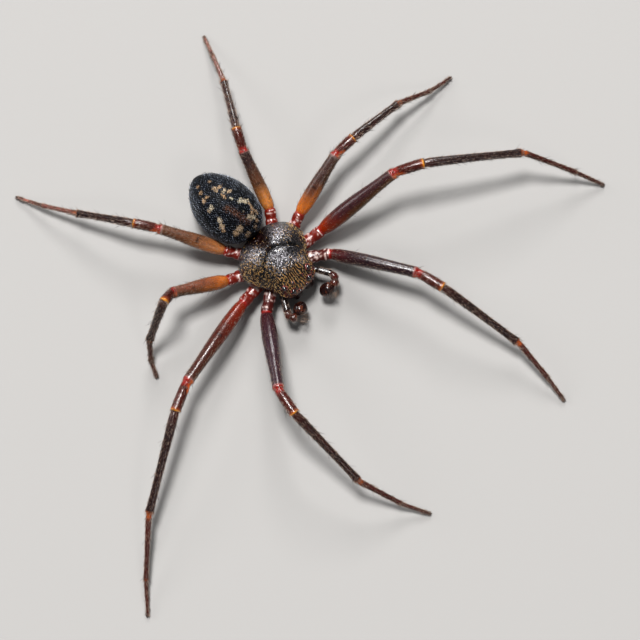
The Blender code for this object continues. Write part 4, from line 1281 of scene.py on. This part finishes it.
# %% [markdown]
# The abdomen's hairs lie back like the nap of velvet. Pale grey-blue ones stand at even distances and
# stipple the black. To space them evenly, each is turned from the one before it by the golden angle. The
# spots and the heart mark are stippled too, by closer hairs of their own colours, which is why a spot's
# edge looks crumbled. A few long dark hairs break the outline.

# %% Hairs of the abdomen
hairs = []
NAP = chip(214, 224, 242)
NAP_DARK = chip(14, 17, 25)
GOLDEN_ANGLE = math.pi * (3 - math.sqrt(5))
NAP_SHORT = 3600
NAP_LONG = 600
SPOT_HAIRS = 3200  # for each square millimetre
HEART_HAIRS = 220


def nap_hair(start, way, colour, length, radius, lift):
    """Plants a hair where a line meets the abdomen."""
    place, normal, _, _ = abdomen_tree.ray_cast(start, way)
    if place is None:
        return
    lean = Vector((draw.gauss(0, 0.25), 1.0, draw.gauss(0, 0.2)))
    flat = (lean - normal * lean.dot(normal)).normalized()
    x, y, z = ((a - b) / c for a, b, c in zip(place, ABDOMEN_CENTRE, ABDOMEN_HALVES))
    spread = (math.atan2(z, x) / math.tau % 1.0, 0.5 + y / 2)
    along = (flat + normal * lift).normalized()
    hairs.append((place - normal * 0.004, along, normal, length, radius, BEND, colour, spread))


for number in range(NAP_SHORT + NAP_LONG):
    height, turned = draw.uniform(-0.97, 0.97), draw.uniform(0, math.tau)
    if number < NAP_SHORT:
        height = 0.97 * (2 * number / NAP_SHORT - 1)
        turned = number * GOLDEN_ANGLE + draw.uniform(-0.03, 0.03)
    level = math.sqrt(1 - height * height)
    ray = Vector((math.cos(turned) * level, height, math.sin(turned) * level)) * ABDOMEN_HALVES
    start = ABDOMEN_CENTRE + ray * 1.5
    if number < NAP_SHORT:
        shade = mix(NAP_DARK, NAP, draw.random() ** 2)
        nap_hair(start, -ray.normalized(), shade, draw.uniform(0.03, 0.05), 0.018, 0.5)
    else:
        nap_hair(start, -ray.normalized(), NAP_DARK, draw.uniform(0.16, 0.26), 0.006, 0.6)
for x, y, wide, long, share in SPOTS:
    shade = mix(GOLD, CREAM, share)
    for _ in range(int(SPOT_HAIRS * wide * long)):
        start = Vector((x + draw.gauss(0, 0.6 * wide), y + draw.gauss(0, 0.6 * long), 9.0))
        nap_hair(start, Vector((0, 0, -1)), mix(NAP_DARK, shade, draw.uniform(0.5, 1.0)), 0.04, 0.014, 0.5)
for _ in range(HEART_HAIRS):
    y = draw.uniform(0.95, 2.25)
    start = Vector((HEART_START + HEART_SLOPE * y + draw.gauss(0, 0.1), y, 9.0))
    nap_hair(start, Vector((0, 0, -1)), mix(NAP_DARK, HEART, draw.uniform(0.4, 1.0)), 0.04, 0.013, 0.5)
plant("abdomen_nap", hairs, ["abdomen"])

# %% [markdown]
# A leg's bristles point to its tip. Fine ones cover it all round, and here and there a longer dark one
# stands out, in pairs under the shins. They are thin enough to read as a fringe along the outline.

# %% Hairs of the legs
HAIR_BROWN = chip(70, 50, 42)
HAIR_PALE = chip(200, 172, 152)
HIGHEST = cad_high[2] / MM


def limb_hairs(stations, number, count, length, radius, lift, colours, first=COXA, last=TARSUS, angles=None):
    """Scatters hairs over the segments from first to last, all round or at the given angles."""
    total = stations[-1][5]
    usable = [station for station in stations if first <= station[3] <= last]
    for _ in range(count):
        start = draw.randrange(len(usable) - 1)
        centre, way, thick, segment, share, distance = usable[start]
        after = usable[start + 1]
        t = draw.random()
        centre = centre.lerp(after[0], t)
        thick += (after[2] - thick) * t
        distance += (after[5] - distance) * t
        angle = draw.uniform(0, math.tau) if angles is None else draw.choice(angles) + draw.gauss(0, 0.12)
        frame_at = ring_frame(centre, way, 1.0, FLATNESS)
        out = (frame_at.col[0].xyz * math.cos(angle) + frame_at.col[1].xyz * math.sin(angle)).normalized()
        lean = way + out * (lift * draw.uniform(0.6, 1.5))
        lean = (lean + Vector([draw.gauss(0, 0.1) for _ in range(3)])).normalized()
        size = min(draw.uniform(0.6, 1.1) * length, 3.2 * thick)
        root = centre + out * thick * 0.93
        if not 0.02 < root.z + lean.z * size < HIGHEST:
            continue
        spread = ((number + angle / math.tau % 1.0) / 8, distance / total)
        hairs.append((root, lean, out, size, radius, 0.18, mix(*colours, draw.random()), spread))


BRISTLES = (((1, 2), "front_leg_bristles"), ((3, 4), "rear_leg_bristles"))
for pairs, name in BRISTLES:
    hairs = []
    for (side, pair), stations in stations_of.items():
        if pair not in pairs:
            continue
        number = pair - 1 + (4 if side == "right" else 0)
        limb_hairs(stations, number, 2900, 0.17, 0.006, 0.6, (HAIR_BROWN, HAIR_PALE), FEMUR)
        limb_hairs(stations, number, 60, 0.42, 0.008, 0.9, (SHIN_BROWN, PALP_DARK), FEMUR, METATARSUS)
        pairs_below = (-1.1, -2.0)
        limb_hairs(
            stations, number, 24, 0.5, 0.01, 0.8, (SHIN_BROWN, PALP_DARK), TIBIA, METATARSUS, pairs_below
        )
        limb_hairs(stations[-8:], number, 50, 0.3, 0.005, 0.7, (FOOT_BROWN, HAIR_BROWN), TARSUS)
    plant(name, hairs, [leg_node(side, pair) for pair in pairs for side in SIDES])

# %% [markdown]
# A palp has the same fine hairs as a leg. Longer ones stand out round its swollen end and lean forwards
# and down, over the bulb.

# %% Hairs of the palps
hairs = []
for side, stations in palp_stations.items():
    limb_hairs(stations, 0 if side == "left" else 4, 220, 0.2, 0.006, 0.5, (HAIR_BROWN, HAIR_PALE), 1)
    end, way = stations[-1][0], stations[-1][1]
    for _ in range(160):
        around = Vector([draw.gauss(0, 1) for _ in range(3)]).normalized()
        if around.dot(way) < -0.2:
            continue
        root = end + way * 0.14 + around * 0.28
        lean = (around * 0.5 + way * 0.9 + Vector((0, -0.4, -0.1))).normalized()
        length = draw.uniform(0.15, 0.4)
        shade = mix(HAIR_BROWN, HAIR_PALE, draw.random())
        hairs.append((root, lean, around, length, 0.006, 0.1, shade, (0.5, 0.9)))
plant("palp_bristles", hairs, ["palp_left", "palp_right"])
